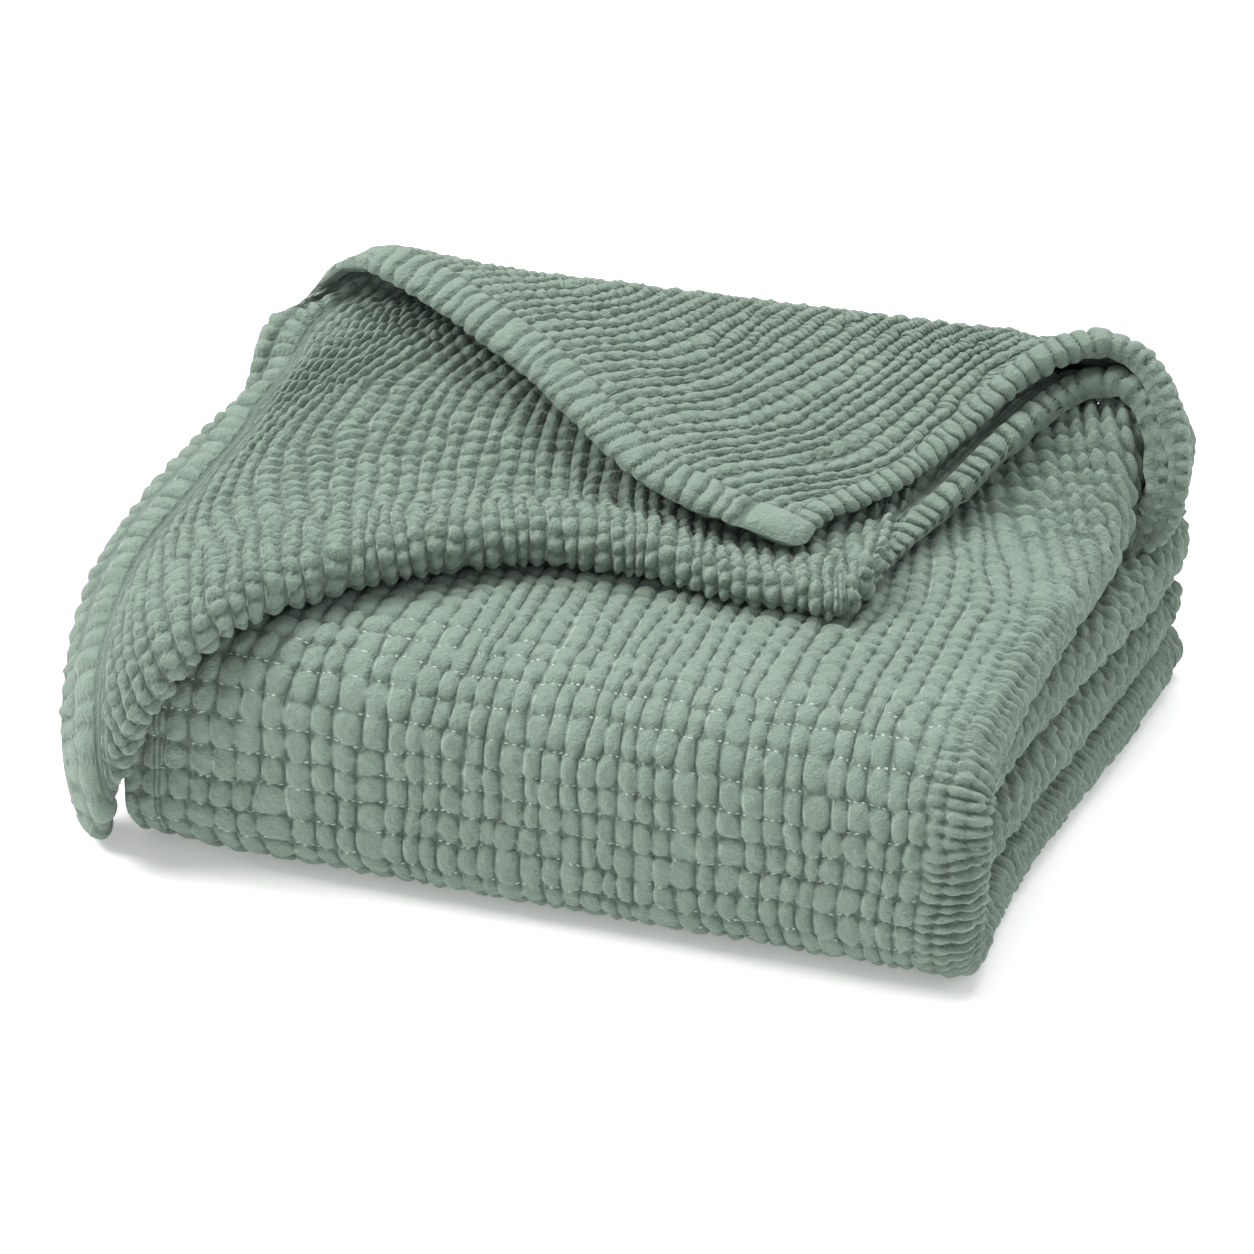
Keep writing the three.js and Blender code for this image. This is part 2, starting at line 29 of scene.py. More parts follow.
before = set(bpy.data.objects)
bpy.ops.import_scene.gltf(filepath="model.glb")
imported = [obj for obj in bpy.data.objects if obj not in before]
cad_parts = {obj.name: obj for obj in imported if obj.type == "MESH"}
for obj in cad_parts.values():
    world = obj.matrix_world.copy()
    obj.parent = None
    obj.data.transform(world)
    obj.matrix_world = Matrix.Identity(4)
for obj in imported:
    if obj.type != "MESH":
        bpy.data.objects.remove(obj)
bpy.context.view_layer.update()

# Middle of the whole object in plan, in the frame of the tables below
CENTRE = np.array([-4.12, 9.11, 0.0])

# Cloth
CLOTH = 4.5
SEAM_AT, SEAM_GAP = 17.0, 2.4  # the two lines of stitches beside a hem
SEAM_MID = SEAM_AT + SEAM_GAP / 2
CELL = 14.6  # pitch of the stitched rows
FLAT_CELL = 0.60  # height of a cell where the cloth has its own thickness
LEAST_HALF = 0.7  # the cloth's half thickness never goes below this

# Bundle: four packs of four layers
LAYER_PITCH = 7.4
PACK_PITCH = 28.7
OUTER_LOOP = 1.5 * LAYER_PITCH
INNER_LOOP = 0.5 * LAYER_PITCH
PACK_HALF = OUTER_LOOP + CLOTH / 2
BACK_START = 152.0
LOWER_CORNER = 17.0
UPPER_CORNER = 27.0
INNER_FOLD = PACK_PITCH / 2
BODY_TOP = 3 * PACK_PITCH + 2 * PACK_HALF
TOP_HEM_OUT = 10.0
SECOND_HEM_IN = 9.0
LAYER_WIDTH = 362.0

# Length, radius and turn of each run of the packs
PACK_RUNS = [
    ("bottom", 268, 0, 0),
    ("lower front corner", None, LOWER_CORNER, -90),
    ("front", 3 * PACK_PITCH - LOWER_CORNER - UPPER_CORNER, 0, 0),
    ("upper front corner", None, UPPER_CORNER, -90),
    ("top", 244, 0, 0),
    ("back fold", None, INNER_FOLD, -180),
    ("inner top", 226, 0, 0),
    ("inner front loop", None, INNER_FOLD, 180),
    ("inner bottom", 236, 0, 0),
]


def table(names, rows):
    """Columns of a table by name."""
    return dict(zip(names.split(), np.array(rows, float).T))


PACK_ENDS = table("at left right", [
    (0, -184, 178),
    (270, -182, 184),
    (375, -179, 183),
    (450, -181, 179),
    (540, -179, 168),
    (620, -178, 162),
    (665, -172, 178),
    (890, -176, 174),
    (935, -170, 178),
    (1170, -178, 178),
])

# How the bundle settles: how far, and between which places it eases in
SKEW, SKEW_X, SKEW_Y = 44.0, (-150, 200), (-110, 170)
RISE, RISE_X, RISE_Y = 35.0, (-215, -120), (66, 165)
RISE_FLOOR, RISE_POWER = 2 * PACK_PITCH, 2.2
ARCH_LIFT, ARCH_X = 0.22, (130, 185)
PINCH, PINCH_X = 0.25, (120, 200)
CORNER_DROP, DROP_X, DROP_Y = 4.0, (70, 190), (-110, 10)
LEFT_DRAW, DRAW_X = 4.0, (-190, -130)
FRONT_Y = (-60, 60)

# Its slow waves: how high, how long each way, and where they start
WAVE, WAVE_LENGTHS, WAVE_STARTS = 1.6, (47, 61), (0.6, -0.4)
BULGE, BULGE_LENGTHS = 1.8, (21, 70)
END_BULGE, END_LENGTHS = 1.5, (17, 55)
FOOT_Z = (8, 40)

# Cells of the bundle, by distance along the packs and across the cloth
WIDE_RIB, CLOSE_RIB, RIB_TURN = 10.8, 8.5, 130.0  # width of the ribs at the left and past the turn
ON_TOP, ARCH_ALONG, ARCH_ACROSS = (375, 440), (500, 560), (230, 300)  # where the rows are closer
SLANT, SLANT_FROM, SLANT_EASE, SLANT_ACROSS = 0.65, 470, 90, (170, 330)  # the ribs on top slant
END_BEFORE, END_AFTER = 22, 6  # how far the cells of the end loop reach in, and past it
CELL_SWELL, CLOSE_SWELL = 3.0, 4.2
BUNDLE_SEAM = 15.0  # the seam beside the bundle's hem, from its edge

# Lines of the turned corner, by distance from its left hem
FRONT_EDGE = table("at x y z roll lean list open", [
    (0, -219, -129, 8, 5.8, 90, 0, 0),
    (22, -203, -141, 8.4, 5.8, 90, 0, 0),
    (45, -193, -155, 32, 6, 90, 0, 0),
    (70, -182, -155.5, 60, 6.2, 85, 0, 0),
    (98, -165, -154, 95, 7, 62, 0, 0),
    (128, -141, -134, 123, 9, 22, 0, 0),
    (160, -115, -101, 129, 10, 0, 0, 0),
    (200, -80, -66, 128.5, 10.5, 0, 0, 0),
    (250, -30, -38, 128, 10.5, 0, 0, 0),
    (300, 18, -35, 127, 9, 0, 0, 0),
    (345, 62, -40, 123, 5.8, 0, 0, 0),
    (372, 90, -38, 121.5, 5.4, 0, 0, 0),
    (400, 112, -36, 120.5, 5.4, 0, 0, 0),
    (425, 120, 4, 119, 4, 6, 0, 1),
    (450, 131, 42, 120, 4, 14, 0, 1),
    (475, 142, 70, 125.5, 4, 18, 0, 1),
    (500, 156, 102, 134.5, 4, 23, 0, 1),
    (525, 172, 128, 146, 4, 14, 0, 1),
    (545, 186, 138, 153, 4, 0, 0, 1),
    (565, 203, 136, 153, 4, 0, 0, 1),
    (585, 216, 125, 141, 4, 0, 0, 1),
    (605, 222, 113, 121, 4, 0, 0, 1),
    (625, 220, 107, 105, 4, 0, 0, 1),
    (632, 216, 107, 99, 4, 0, 0, 1),
    (640, 211, 106, 96, 4, 0, 0, 1),
])
HOLLOW = table("at x y z", [
    (0, -240, -74, 79),
    (60, -216, -84, 108),
    (128, -172, -55, 131),
    (200, -94, -12, 130),
    (300, 0, 18, 124),
    (345, 46, 2, 120.5),
    (372, 70, 8, 120),
    (400, 97, 30, 120.5),
    (412, 106, 42, 122),
    (425, 114, 62, 125),
    (450, 126, 78, 129),
    (475, 137, 103, 136),
    (500, 151, 124, 144),
    (525, 168, 144, 150),
    (545, 185, 151, 152),
    (565, 204, 149, 150),
    (585, 216, 139, 140),
    (605, 222, 129, 121),
    (625, 220, 124, 105),
    (632, 216, 123, 99),
    (640, 211, 122, 97),
])
SWELL = table("at x y z pushX pushY pushZ", [
    (0, -221, 10, 121, 6, -2, -7),
    (60, -192, 28, 140, 0, 2, 4),
    (128, -154, 48, 146, 0, 0, 2),
    (200, -90, 68, 144, 0, 0, 0),
    (300, 0, 84, 142, 0, 0, 0),
    (400, 90, 98, 139, 0, 0, 0),
    (450, 120, 116, 143, 0, 0, 0),
    (475, 134, 130, 146, 0, 0, 0),
    (500, 149, 144, 148, 0, 0, 0),
    (525, 168, 154, 148, 0, 0, 0),
    (545, 186, 159, 147, 0, 0, 0),
    (565, 205, 158, 144, 0, 0, 0),
    (585, 216, 151, 135, 0, 0, 0),
    (605, 222, 146, 120, 0, 0, 0),
    (625, 220, 142, 105, 0, 0, 0),
    (632, 216, 140, 99, 0, 0, 0),
    (640, 211, 139, 97, 0, 0, 0),
])
CREST = table("at x y z fold list", [
    (0, -186, 98, 180, 16, 0),
    (25, -168, 109, 185.5, 15, 0),
    (60, -139, 121, 179, 11, 0),
    (128, -104, 128, 174.5, 8.5, 0),
    (200, -42, 136, 171.5, 8.5, 0),
    (300, 32, 141, 170, 8.5, 0),
    (400, 92, 146, 168.5, 8, 0),
    (450, 122, 150, 167, 8, 0),
    (475, 138, 156, 165, 7.5, 0),
    (500, 152, 160, 160, 7.5, 0),
    (525, 169, 166, 154, 8, 5),
    (545, 186, 170, 148.5, 9, 15),
    (565, 205, 171, 142.5, 8.5, 40),
    (585, 221, 168, 131, 6, 68),
    (605, 228, 166, 117, 4.5, 88),
    (625, 228, 158, 104, 4, 105),
    (632, 222, 157, 94, 4, 135),
    (640, 210, 156, 87, 4.6, 185),
])
FREE_EDGE = table("at x y z bowX bowY bowZ", [
    (0, 84, -9, 129.5, 9, -16, -2.5),
    (60, 87, 18, 130, 0, -8, 2),
    (128, 99, 34, 131, 0, 0, 3),
    (200, 112, 48, 134, 0, 0, 3),
    (300, 127, 74, 139, 0, 0, 3),
    (400, 141, 102, 147, 0, 0, 3),
    (450, 151, 116, 155, 0, 0, 2),
    (475, 158, 124, 160, 0, 0, 4),
    (500, 168, 131, 166, 0, -1, 6),
    (525, 180, 138, 169.5, 0, -2, 9),
    (545, 192, 142, 171, 0, -2, 9),
    (565, 208, 139, 167, 1, -1, 6),
    (585, 222, 128, 151, 1, 0, 2),
    (605, 229, 116, 132, 1, 0, 0),
    (625, 229, 108, 109, 1, 0, 0),
    (632, 222, 107, 94, 0, 0, 0),
    (640, 208, 105, 86, 0, 0, 0),
])
SWAY = table("at x y z", [
    (0, -3, 11, 2.2),
    (60, 0, 4, 1),
    (128, 0, 0, 0),
    (640, 0, 0, 0),
])
# Where the stitch line of the left hem runs
HEM_LINE = table("at station", [
    (0, 40),
    (22, 55),
    (47, 70),
    (82, 76),
    (118, 83),
    (144, 96),
    (170, 96),
    (196, 88),
    (221, 67),
    (242, 57),
    (262, 41),
    (276, 37),
    (303, 36),
    (400, 36),
])

# Form of the turned corner: how close the points at a free edge are, or how many of them reach
# the hollow; how much bow the flap has between its ends; how long the tucked end is, by the roll
HEM_PACE, HEM_SHARE, BOW_SHARE = 2.4, 10, 0.9
TUCK_MIN, TUCK_MAX, TUCK_ROLL = 4.0, 26.0, (4, 10)

# Cells of the turned corner. Its lower corner is at one place, and past it the front edge is open
CORNER_AT, SIDE_AT, SIDE_EASE = 400.0, 412, (424, 436)
CHAIN_ROLL, CHAIN_NEAR, CHAIN_FAR, CHAIN_EASE = 6.9, 8.0, 8.9, (80, 260)  # width of the chains
CHAIN_ROW, ROLL_ROW, HEM_ROW = 9.0, 7.4, 9.6  # length of a bead on the chains, the roll and the hem
RIB_PITCH, RIB_ROW = 7.4, 8.4  # width and length of a bead over the crest
CHAIN_WANDER, RIB_WANDER = 10.0, 9.5  # how slowly they wander
SWEEP, SWEEP_IN = 26.0, (0, 80)  # the ribs over the crest turn aside where they meet the thick hem
SIDE_PITCH, SIDE_ROW, SIDE_SEAM = 9.5, 9.0, 13.6  # cells along the open edge, and its seam
TUCK_SEAM, TUCK_SEAM_AT = 0.85, 417  # the seam on the tucked end, which slants

# Rolled hems of the turned corner: width, pitch of the gathers, seed
FLAP_HEM, FREE_HEM, SIDE_HEM = (20.0, 8.4, 71), (11.5, 6.6, 72), (13.0, 8.0, 73)
FLAP_EASE, THIN_EASE, HEM_SIDE = (18.5, 21.5), (10, 12.5), (414, 424)  # where they end, and one begins
SCALLOP = 2.6
# Smooth stitched end of the flap's hem: where it begins, its middle, its rounding, size and groove
PLUG_FROM, PLUG_BACK, PLUG_ROUND = (-34, -31), 15.5, 10.0
PLUG_HALF, PLUG_MID, PLUG_WIDE, PLUG_GROOVE = 17, 10.5, 11, (17.5, 3.0)
# How full the cloth is, also beside the peak, and the valley that its seam makes
UNDER_SWELL, OVER_SWELL, HEM_SWELL, HEM_SWELL_AT = 4.2, 2.7, 2.4, (410, 480)
PEAK_FULL, PEAK_AT, PEAK_LENGTH, PEAK_IN = 3.2, 312, 34, (10, 26)
VALLEY_WIDTH, VALLEY_DEPTH = 2.4, 1.7

# Fineness of the turned corner
FIRST_STEP, STATION_STEP, LAST_STATION = 6.0, 1.6, 640.0
TUCK_STEPS, ROLL_STEPS, FOLD_STEPS = 10, 20, 14
UNDER_STEPS = (46, 66, 34, 28)
OVER_STEPS = (92, 76, 72)
COARSE = 4  # hidden sides have one point in so many
# Columns of its points: where the roll ends, the seam begins and the chains begin
ROLL_END = TUCK_STEPS + ROLL_STEPS
SEAM_COLUMN, CHAIN_COLUMN = ROLL_END + 12, ROLL_END + 26
CREST_COLUMN = ROLL_END + sum(UNDER_STEPS) + FOLD_STEPS // 2
CREST_BLEND, CREST_EDGE = 4, 8
FAR = 400.0  # what is added to a distance where an edge doesn't count


# Small mathematics

def ease(span, v):
    """From 0 to 1 between the two places of the span."""
    t = np.clip((v - span[0]) / (span[1] - span[0]), 0.0, 1.0)
    return t * t * (3 - 2 * t)


def mix(a, b, t):
    return a + (b - a) * t


def unit(v):
    return v / np.maximum(np.linalg.norm(v, axis=-1, keepdims=True), 1e-9)


def column(tab, name, at):
    """Value of one column of a table, eased between its rows."""
    xs, ys = tab["at"], tab[name]
    ways = np.empty_like(ys)
    ways[1:-1] = (ys[2:] - ys[:-2]) / (xs[2:] - xs[:-2])
    ways[0] = (ys[1] - ys[0]) / (xs[1] - xs[0])
    ways[-1] = (ys[-1] - ys[-2]) / (xs[-1] - xs[-2])
    i = np.clip(np.searchsorted(xs, at, side="right") - 1, 0, len(xs) - 2)
    span = xs[i + 1] - xs[i]
    t = np.clip((at - xs[i]) / span, 0, 1)
    t2, t3 = t * t, t * t * t
    return ((2 * t3 - 3 * t2 + 1) * ys[i] + (t3 - 2 * t2 + t) * span * ways[i]
            + (3 * t2 - 2 * t3) * ys[i + 1] + (t3 - t2) * span * ways[i + 1])


def row_point(tab, at, names=("x", "y", "z")):
    return np.array([float(column(tab, n, at)) for n in names])


def whole(v):
    return np.floor(v).astype(np.int64)


def lattice(ix, iy, seed):
    """A number from 0 to 1 for each whole place."""
    h = (ix * 374761393 + iy * 668265263 + seed * 1442695041) & 0xFFFFFFFF
    h = ((h ^ (h >> 13)) * 1274126177) & 0xFFFFFFFF
    return ((h ^ (h >> 16)) & 0xFFFF) / 65535.0


def noise(x, y, seed=0):
    """Smooth noise from -1 to 1."""
    ix, iy = whole(x), whole(y)
    fx, fy = x - ix, y - iy
    fx, fy = fx * fx * (3 - 2 * fx), fy * fy * (3 - 2 * fy)
    low = mix(lattice(ix, iy, seed), lattice(ix + 1, iy, seed), fx)
    high = mix(lattice(ix, iy + 1, seed), lattice(ix + 1, iy + 1, seed), fx)
    return 2 * mix(low, high, fy) - 1


# Bundle

def run_on(start, bend, dist):
    """Place and heading after a distance on a straight or round run."""
    y, z, heading = start
    after = heading + bend * dist
    if not bend:
        return y + dist * math.cos(heading), z + dist * math.sin(heading), after
    y = y + (np.sin(after) - math.sin(heading)) / bend
    z = z - (np.cos(after) - math.cos(heading)) / bend
    return y, z, after


def run_length(length, radius, turn):
    return radius * math.radians(abs(turn)) if length is None else length


def pack_path(s):
    """Middle of the pack in the Y-Z plane, and its heading in radians, by distance along it."""
    path = np.zeros_like(s), np.zeros_like(s), np.zeros_like(s)
    start, s0 = (BACK_START, PACK_HALF, math.pi), 0.0
    for _, length, radius, turn in PACK_RUNS:
        length = run_length(length, radius, turn)
        bend = math.radians(turn) / length
        here = (s >= s0 - 1e-6)
        on_run = run_on(start, bend, np.clip(s - s0, 0, length))
        path = [np.where(here, new, old) for new, old in zip(on_run, path)]
        start = [float(v) for v in run_on(start, bend, length)]
        s0 += length
    return path


PACK_LENGTH = sum(run_length(*run[1:]) for run in PACK_RUNS)


def layer_path(t):
    """Share of the way right, reach past the end, offset and its direction, by distance across."""
    loops = [(OUTER_LOOP, 0.0, 1), (INNER_LOOP, -LAYER_PITCH, -1), (INNER_LOOP, 0.0, 1)]
    share, out, off = np.zeros_like(t), np.zeros_like(t), np.full_like(t, OUTER_LOOP)
    nx, no, stretch = np.zeros_like(t), np.ones_like(t), np.zeros_like(t)
    t0, way, level, start = 0.0, 1, OUTER_LOOP, 1.0
    for k in range(len(loops) + 1):
        here = t >= t0
        d = np.clip((t - t0) / LAYER_WIDTH, 0, 1)
        sh = d if way > 0 else 1 - d
        edge = {0: -TOP_HEM_OUT, len(loops): SECOND_HEM_IN}.get(k, 0.0)
        share, out, off = np.where(here, sh, share), np.where(here, 0.0, out), np.where(here, level, off)
        nx, no = np.where(here, 0.0, nx), np.where(here, start, no)
        stretch = np.where(here, edge * (1 - sh), stretch)
        t0 += LAYER_WIDTH
        if k == len(loops):
            break
        radius, centre, side = loops[k]
        first = math.copysign(1.0, level - centre)
        a = np.clip((t - t0) / radius, 0, math.pi)
        here = t >= t0
        up = first * np.cos(a)
        share = np.where(here, 1.0 if side > 0 else 0.0, share)
        out = np.where(here, side * radius * np.sin(a), out)
        off = np.where(here, centre + radius * up, off)
        inward = first * start
        nx = np.where(here, inward * side * np.sin(a), nx)
        no = np.where(here, inward * up, no)
        stretch = np.where(here, 0.0, stretch)
        level = centre - first * radius
        start, way = -start, -way
        t0 += math.pi * radius
    return share, out, off, nx, no, stretch


LAYER_LENGTH = 4 * LAYER_WIDTH + math.pi * (OUTER_LOOP + 2 * INNER_LOOP)
FIRST_LOOP = LAYER_WIDTH + math.pi * OUTER_LOOP


def settle(x, y, z):
    """Where a point of the straight bundle lies once it has settled."""
    up = z / BODY_TOP
    rightward = ease(SKEW_X, x)
    gather = ease(RISE_Y, y) * ease(RISE_X, x) * (1 + ARCH_LIFT * ease(ARCH_X, x))
    above = np.maximum(0, (z - RISE_FLOOR) / (BODY_TOP - RISE_FLOOR))
    rise = RISE * gather * above ** RISE_POWER
    pinch = PINCH * rise * ease(PINCH_X, x)
    drop = CORNER_DROP * up * ease(DROP_X, x) * (1 - ease(DROP_Y, y))
    wave = (WAVE * up * np.sin(x / WAVE_LENGTHS[0] + WAVE_STARTS[0])
            * np.cos(y / WAVE_LENGTHS[1] + WAVE_STARTS[1]))
    bulge = BULGE * np.sin(z / BULGE_LENGTHS[0] + x / BULGE_LENGTHS[1]) * ease(FOOT_Z, z)
    end_bulge = END_BULGE * np.sin(z / END_LENGTHS[0] + y / END_LENGTHS[1]) * rightward * ease(FOOT_Z, z)
    draw = LEFT_DRAW * (1 - ease(DRAW_X, x))
    return np.stack([
        x - pinch + SKEW * rightward * ease(SKEW_Y, y) + end_bulge,
        y + (bulge + draw) * (1 - ease(FRONT_Y, y)),
        z + rise - drop + wave,
    ], -1)


# Puckers

def warped(u, v, seed, wander=1.0, stagger=0.0):
    """Rows and ribs, counted in cells, with their wandering."""
    rib = v + wander * (0.40 * noise(v * 0.37, u * 0.10, seed) + 0.20 * noise(v * 0.9, u * 0.55, seed + 1))
    row = u + wander * (0.16 * noise(v * 0.2, u * 0.35, seed + 2) + 0.13 * noise(v * 0.8, u * 1.1, seed + 3))
    rib = rib + stagger * noise(rib * 0.45, np.floor(row) * 3.7 + 0.5, seed + 6)
    return row, rib


def staggered(rib, row, seed):
    """Rows shifted on each chain by a share of its own, and of uneven length."""
    return row + 0.5 * lattice(whole(rib), 3, seed) + 0.22 * noise(rib * 0.8, row * 0.9, seed + 1)


def pucker(row, rib, rows, ribs, seed, creased=1.0, power=3.2):
    """Height of the puckered cells, 0 in the grooves and about 1 on the cells."""
    ix, iy = whole(rib), whole(row)
    sx, sy = 2 * (rib - ix - 0.5), 2 * (row - iy - 0.5)
    x, y = np.abs(sx), np.abs(sy)
    size = lattice(ix, iy, seed + 7)
    knot = lattice(ix, whole(row + 0.5), seed + 8)
    side = lattice(whole(rib + 0.5), iy, seed + 9)
    lean_x, lean_y = lattice(ix, iy, seed + 10) - 0.5, lattice(ix, iy, seed + 11) - 0.5
    across = ribs * (0.55 + 0.52 * np.sqrt(side)) * x ** 2.1
    ends = rows * (0.45 + 0.50 * np.sqrt(knot)) * y ** (power - 0.28 * power * x)
    dome = np.maximum(0, 1 - across - ends) ** 0.58
    lift = 0.82 + 0.30 * size + 0.30 * (lean_x * sx * ribs + lean_y * sy * rows)
    wrinkle = 0.10 * noise(rib * 2.3, row * 2.9, seed + 4) + 0.05 * noise(rib * 4.3, row * 4.7, seed + 5)
    return dome * lift + creased * wrinkle


# Meshes

def slopes(grid):
    """Change of a grid down its columns and along its rows."""
    return np.gradient(grid, axis=0), np.gradient(grid, axis=1)


def grid_normals(points):
    return unit(np.cross(*slopes(points)))


def coarse(count):
    """Every few places of a grid, with its last one."""
    return np.unique(np.append(np.arange(0, count, COARSE), count - 1))


def rim(fine, low, places, flip):
    """Faces that close the edge between the fine side and the coarse one."""
    faces = []
    for k in range(len(places) - 1):
        face = [int(low[k]), int(low[k + 1])] + fine[places[k]:places[k + 1] + 1][::-1].tolist()
        faces.append(face[::-1] if flip else face)
    return faces


def quads(a, b, c, d):
    return np.stack([a.ravel(), b.ravel(), c.ravel(), d.ravel()], -1).tolist()


def sheet_mesh(name, upper, lower, uv, marks, material, part):
    """Closed skin between one part of two grids of points in millimetres, as a piece of the throw."""
    top_normals = grid_normals(upper)[part]
    low_normals = -grid_normals(lower)[part]
    upper, lower, uv = upper[part], lower[part], uv[part]
    marks = {k: v[part] for k, v in marks.items()}
    n, m = upper.shape[:2]
    if np.mean(np.sum(top_normals * (upper - lower), -1)) < 0:
        upper, lower, uv = upper[::-1], lower[::-1], uv[::-1]
        top_normals, low_normals = -top_normals[::-1], -low_normals[::-1]
        marks = {k: v[::-1] for k, v in marks.items()}
    ids = np.arange(n * m).reshape(n, m)
    down, along = coarse(n), coarse(m)
    pick = np.ix_(down, along)
    low = n * m + np.arange(len(down) * len(along)).reshape(len(down), len(along))
    faces = quads(ids[:-1, :-1], ids[1:, :-1], ids[1:, 1:], ids[:-1, 1:])
    faces += quads(low[:-1, :-1], low[:-1, 1:], low[1:, 1:], low[1:, :-1])
    faces += rim(ids[:, 0], low[:, 0], down, False) + rim(ids[:, -1], low[:, -1], down, True)
    faces += rim(ids[0], low[0], along, True) + rim(ids[-1], low[-1], along, False)

    def joined(fine, hidden):
        """Values of the fine side, then of the coarse one."""
        return np.concatenate([fine.reshape(n * m, -1), hidden[pick].reshape(low.size, -1)])

    points = (joined(upper, lower) - CENTRE) / 1000
    mesh = bpy.data.meshes.new(name)
    mesh.from_pydata(points.tolist(), [], faces)
    mesh.polygons.foreach_set("use_smooth", np.ones(len(faces), bool))
    layer = mesh.uv_layers.new(name="cells")
    corners = np.empty(len(mesh.loops), np.int32)
    mesh.loops.foreach_get("vertex_index", corners)
    layer.data.foreach_set("uv", joined(uv, uv)[corners].astype(np.float32).ravel())
    for key, values in marks.items():
        attribute = mesh.attributes.new(key, "FLOAT", "POINT")
        attribute.data.foreach_set("value", joined(values, values).astype(np.float32).ravel())
    mesh.normals_split_custom_set_from_vertices(joined(top_normals, low_normals).tolist())
    mesh.materials.append(material)
    obj = bpy.data.objects.new(name, mesh)
    bpy.context.scene.collection.objects.link(obj)
    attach(obj, "root")
    return obj


def steps(*stops):
    """Places from (start, pace) to (end, pace) and so on, each stretch at its own pace."""
    out = [stops[0][0]]
    for (a, pace), (b, _) in zip(stops, stops[1:]):
        count = max(1, round((b - a) / pace))
        out += list(a + (b - a) * np.arange(1, count + 1) / count)
    return np.array(out)


def edge_fall(distance, width=2.6):
    """Thickness near a free edge, rounded off."""
    d = np.clip(distance / width, 0, 1)
    return np.sqrt(np.maximum(0.03, 1 - (1 - d) ** 2))


def above_floor(points):
    points[..., 2] = np.maximum(points[..., 2], 0.0)
    return points


def rib_count(across):
    """Ribs across the bundle: wide ones at the left, closer ones to the right."""
    return np.minimum(across, RIB_TURN) / WIDE_RIB + np.maximum(0, across - RIB_TURN) / CLOSE_RIB


def wider(places, last):
    """The places with one more at each end, where the cloth goes on."""
    before = max(0.0, 2 * places[0] - places[1])
    after = min(last, 2 * places[-1] - places[-2])
    return np.concatenate([[before], places, [after]])


def bundle_cells(s, t, heading, hem):
    """Rows and ribs of the bundle, the height of its cells, and marks for the material."""
    on_top = ease(ON_TOP, s)
    in_arch = ease(ARCH_ALONG, s) * ease(ARCH_ACROSS, t)
    past = np.maximum(0, s - SLANT_FROM)
    slant = SLANT * past ** 2 / (past + SLANT_EASE) * ease(SLANT_ACROSS, t)
    along = (s + PACK_HALF * (math.pi - heading)) / CELL
    row, rib = warped(along, rib_count(t + slant), 11, 1.0, 0.2 * (1 - on_top))
    rows, ribs = mix(1.0, 0.62, on_top), mix(1.0, 0.95, on_top)
    ending = (ease((LAYER_WIDTH - END_BEFORE, LAYER_WIDTH + END_AFTER), t)
              * (1 - ease((FIRST_LOOP - END_AFTER, FIRST_LOOP + END_BEFORE), t)))
    closer = mix(2.6, 2.0, in_arch) * row + 0.22 * noise(rib * 0.8, row * 1.7, 31)
    close = np.maximum(ending, in_arch)
    ribs = mix(ribs, mix(0.45, 1.0, in_arch), ending)
    h = mix(pucker(row, rib, rows, ribs, 11, 2.0), pucker(1.8 * row, rib, 0.9, ribs, 14, 1.6), on_top)
    h = mix(h, pucker(closer, rib, 1.45, ribs, 12, 1.4, 2.1), close)
    swell = mix(CELL_SWELL, CLOSE_SWELL, close) * (h - FLAT_CELL)
    # The height of the cells also sets how much painted shade their grooves get in the material
    marks = {"puff": h, "ribs": ribs * (1 - close), "hem": hem, "stitch": (1 - on_top) * (1 - close),
             "beads": np.zeros_like(h)}
    return np.stack([rib, row], -1), swell, marks


def bundle_part(name, along, across, material):
    """Part of the folded bundle between these places along and across the packs."""
    s, t = np.meshgrid(wider(along, PACK_LENGTH), wider(across, LAYER_LENGTH), indexing="ij")
    y0, z0, heading = pack_path(s)
    share, out, off, nx, no, stretch = layer_path(t)
    left, right = column(PACK_ENDS, "left", s), column(PACK_ENDS, "right", s)
    edge = np.minimum(np.minimum(t, LAYER_LENGTH - t), np.minimum(s, PACK_LENGTH - s))
    uv, swell, marks = bundle_cells(s, t, heading, edge + SEAM_AT - BUNDLE_SEAM)
    half = np.maximum(LEAST_HALF, CLOTH / 2 + swell) * edge_fall(edge)
    x0 = mix(left, right, share) + out + stretch
    sides = []
    for reach in (half, -half):
        offset = off + reach * no
        sides.append(above_floor(settle(
            x0 + reach * nx, y0 - offset * np.sin(heading), z0 + offset * np.cos(heading))))
    inner = (slice(1, -1), slice(1, -1))
    return sheet_mesh(name, *sides, uv, marks, material, inner)


# Turned corner

def through(points, first, last, counts):
    """Smooth line through the points, with its first and last direction."""
    spans = [np.linalg.norm(b - a) for a, b in zip(points, points[1:])]
    ways = [(b - a) / span for a, b, span in zip(points, points[1:], spans)]
    tangents = [first]
    for k in range(1, len(spans)):
        tangents.append((ways[k - 1] * spans[k] + ways[k] * spans[k - 1]) / (spans[k - 1] + spans[k]))
    tangents.append(last)
    out = []
    for i, (span, count) in enumerate(zip(spans, counts)):
        t = (np.arange(1, count + 1) / count)[:, None]
        t2, t3 = t * t, t * t * t
        m0, m1 = tangents[i] * span, tangents[i + 1] * span
        out.append(points[i] * (2 * t3 - 3 * t2 + 1) + m0 * (t3 - 2 * t2 + t)
                   + points[i + 1] * (3 * t2 - 2 * t3) + m1 * (t3 - t2))
    return np.concatenate(out)


def square(way, out):
    return unit(way - out * np.dot(way, out))


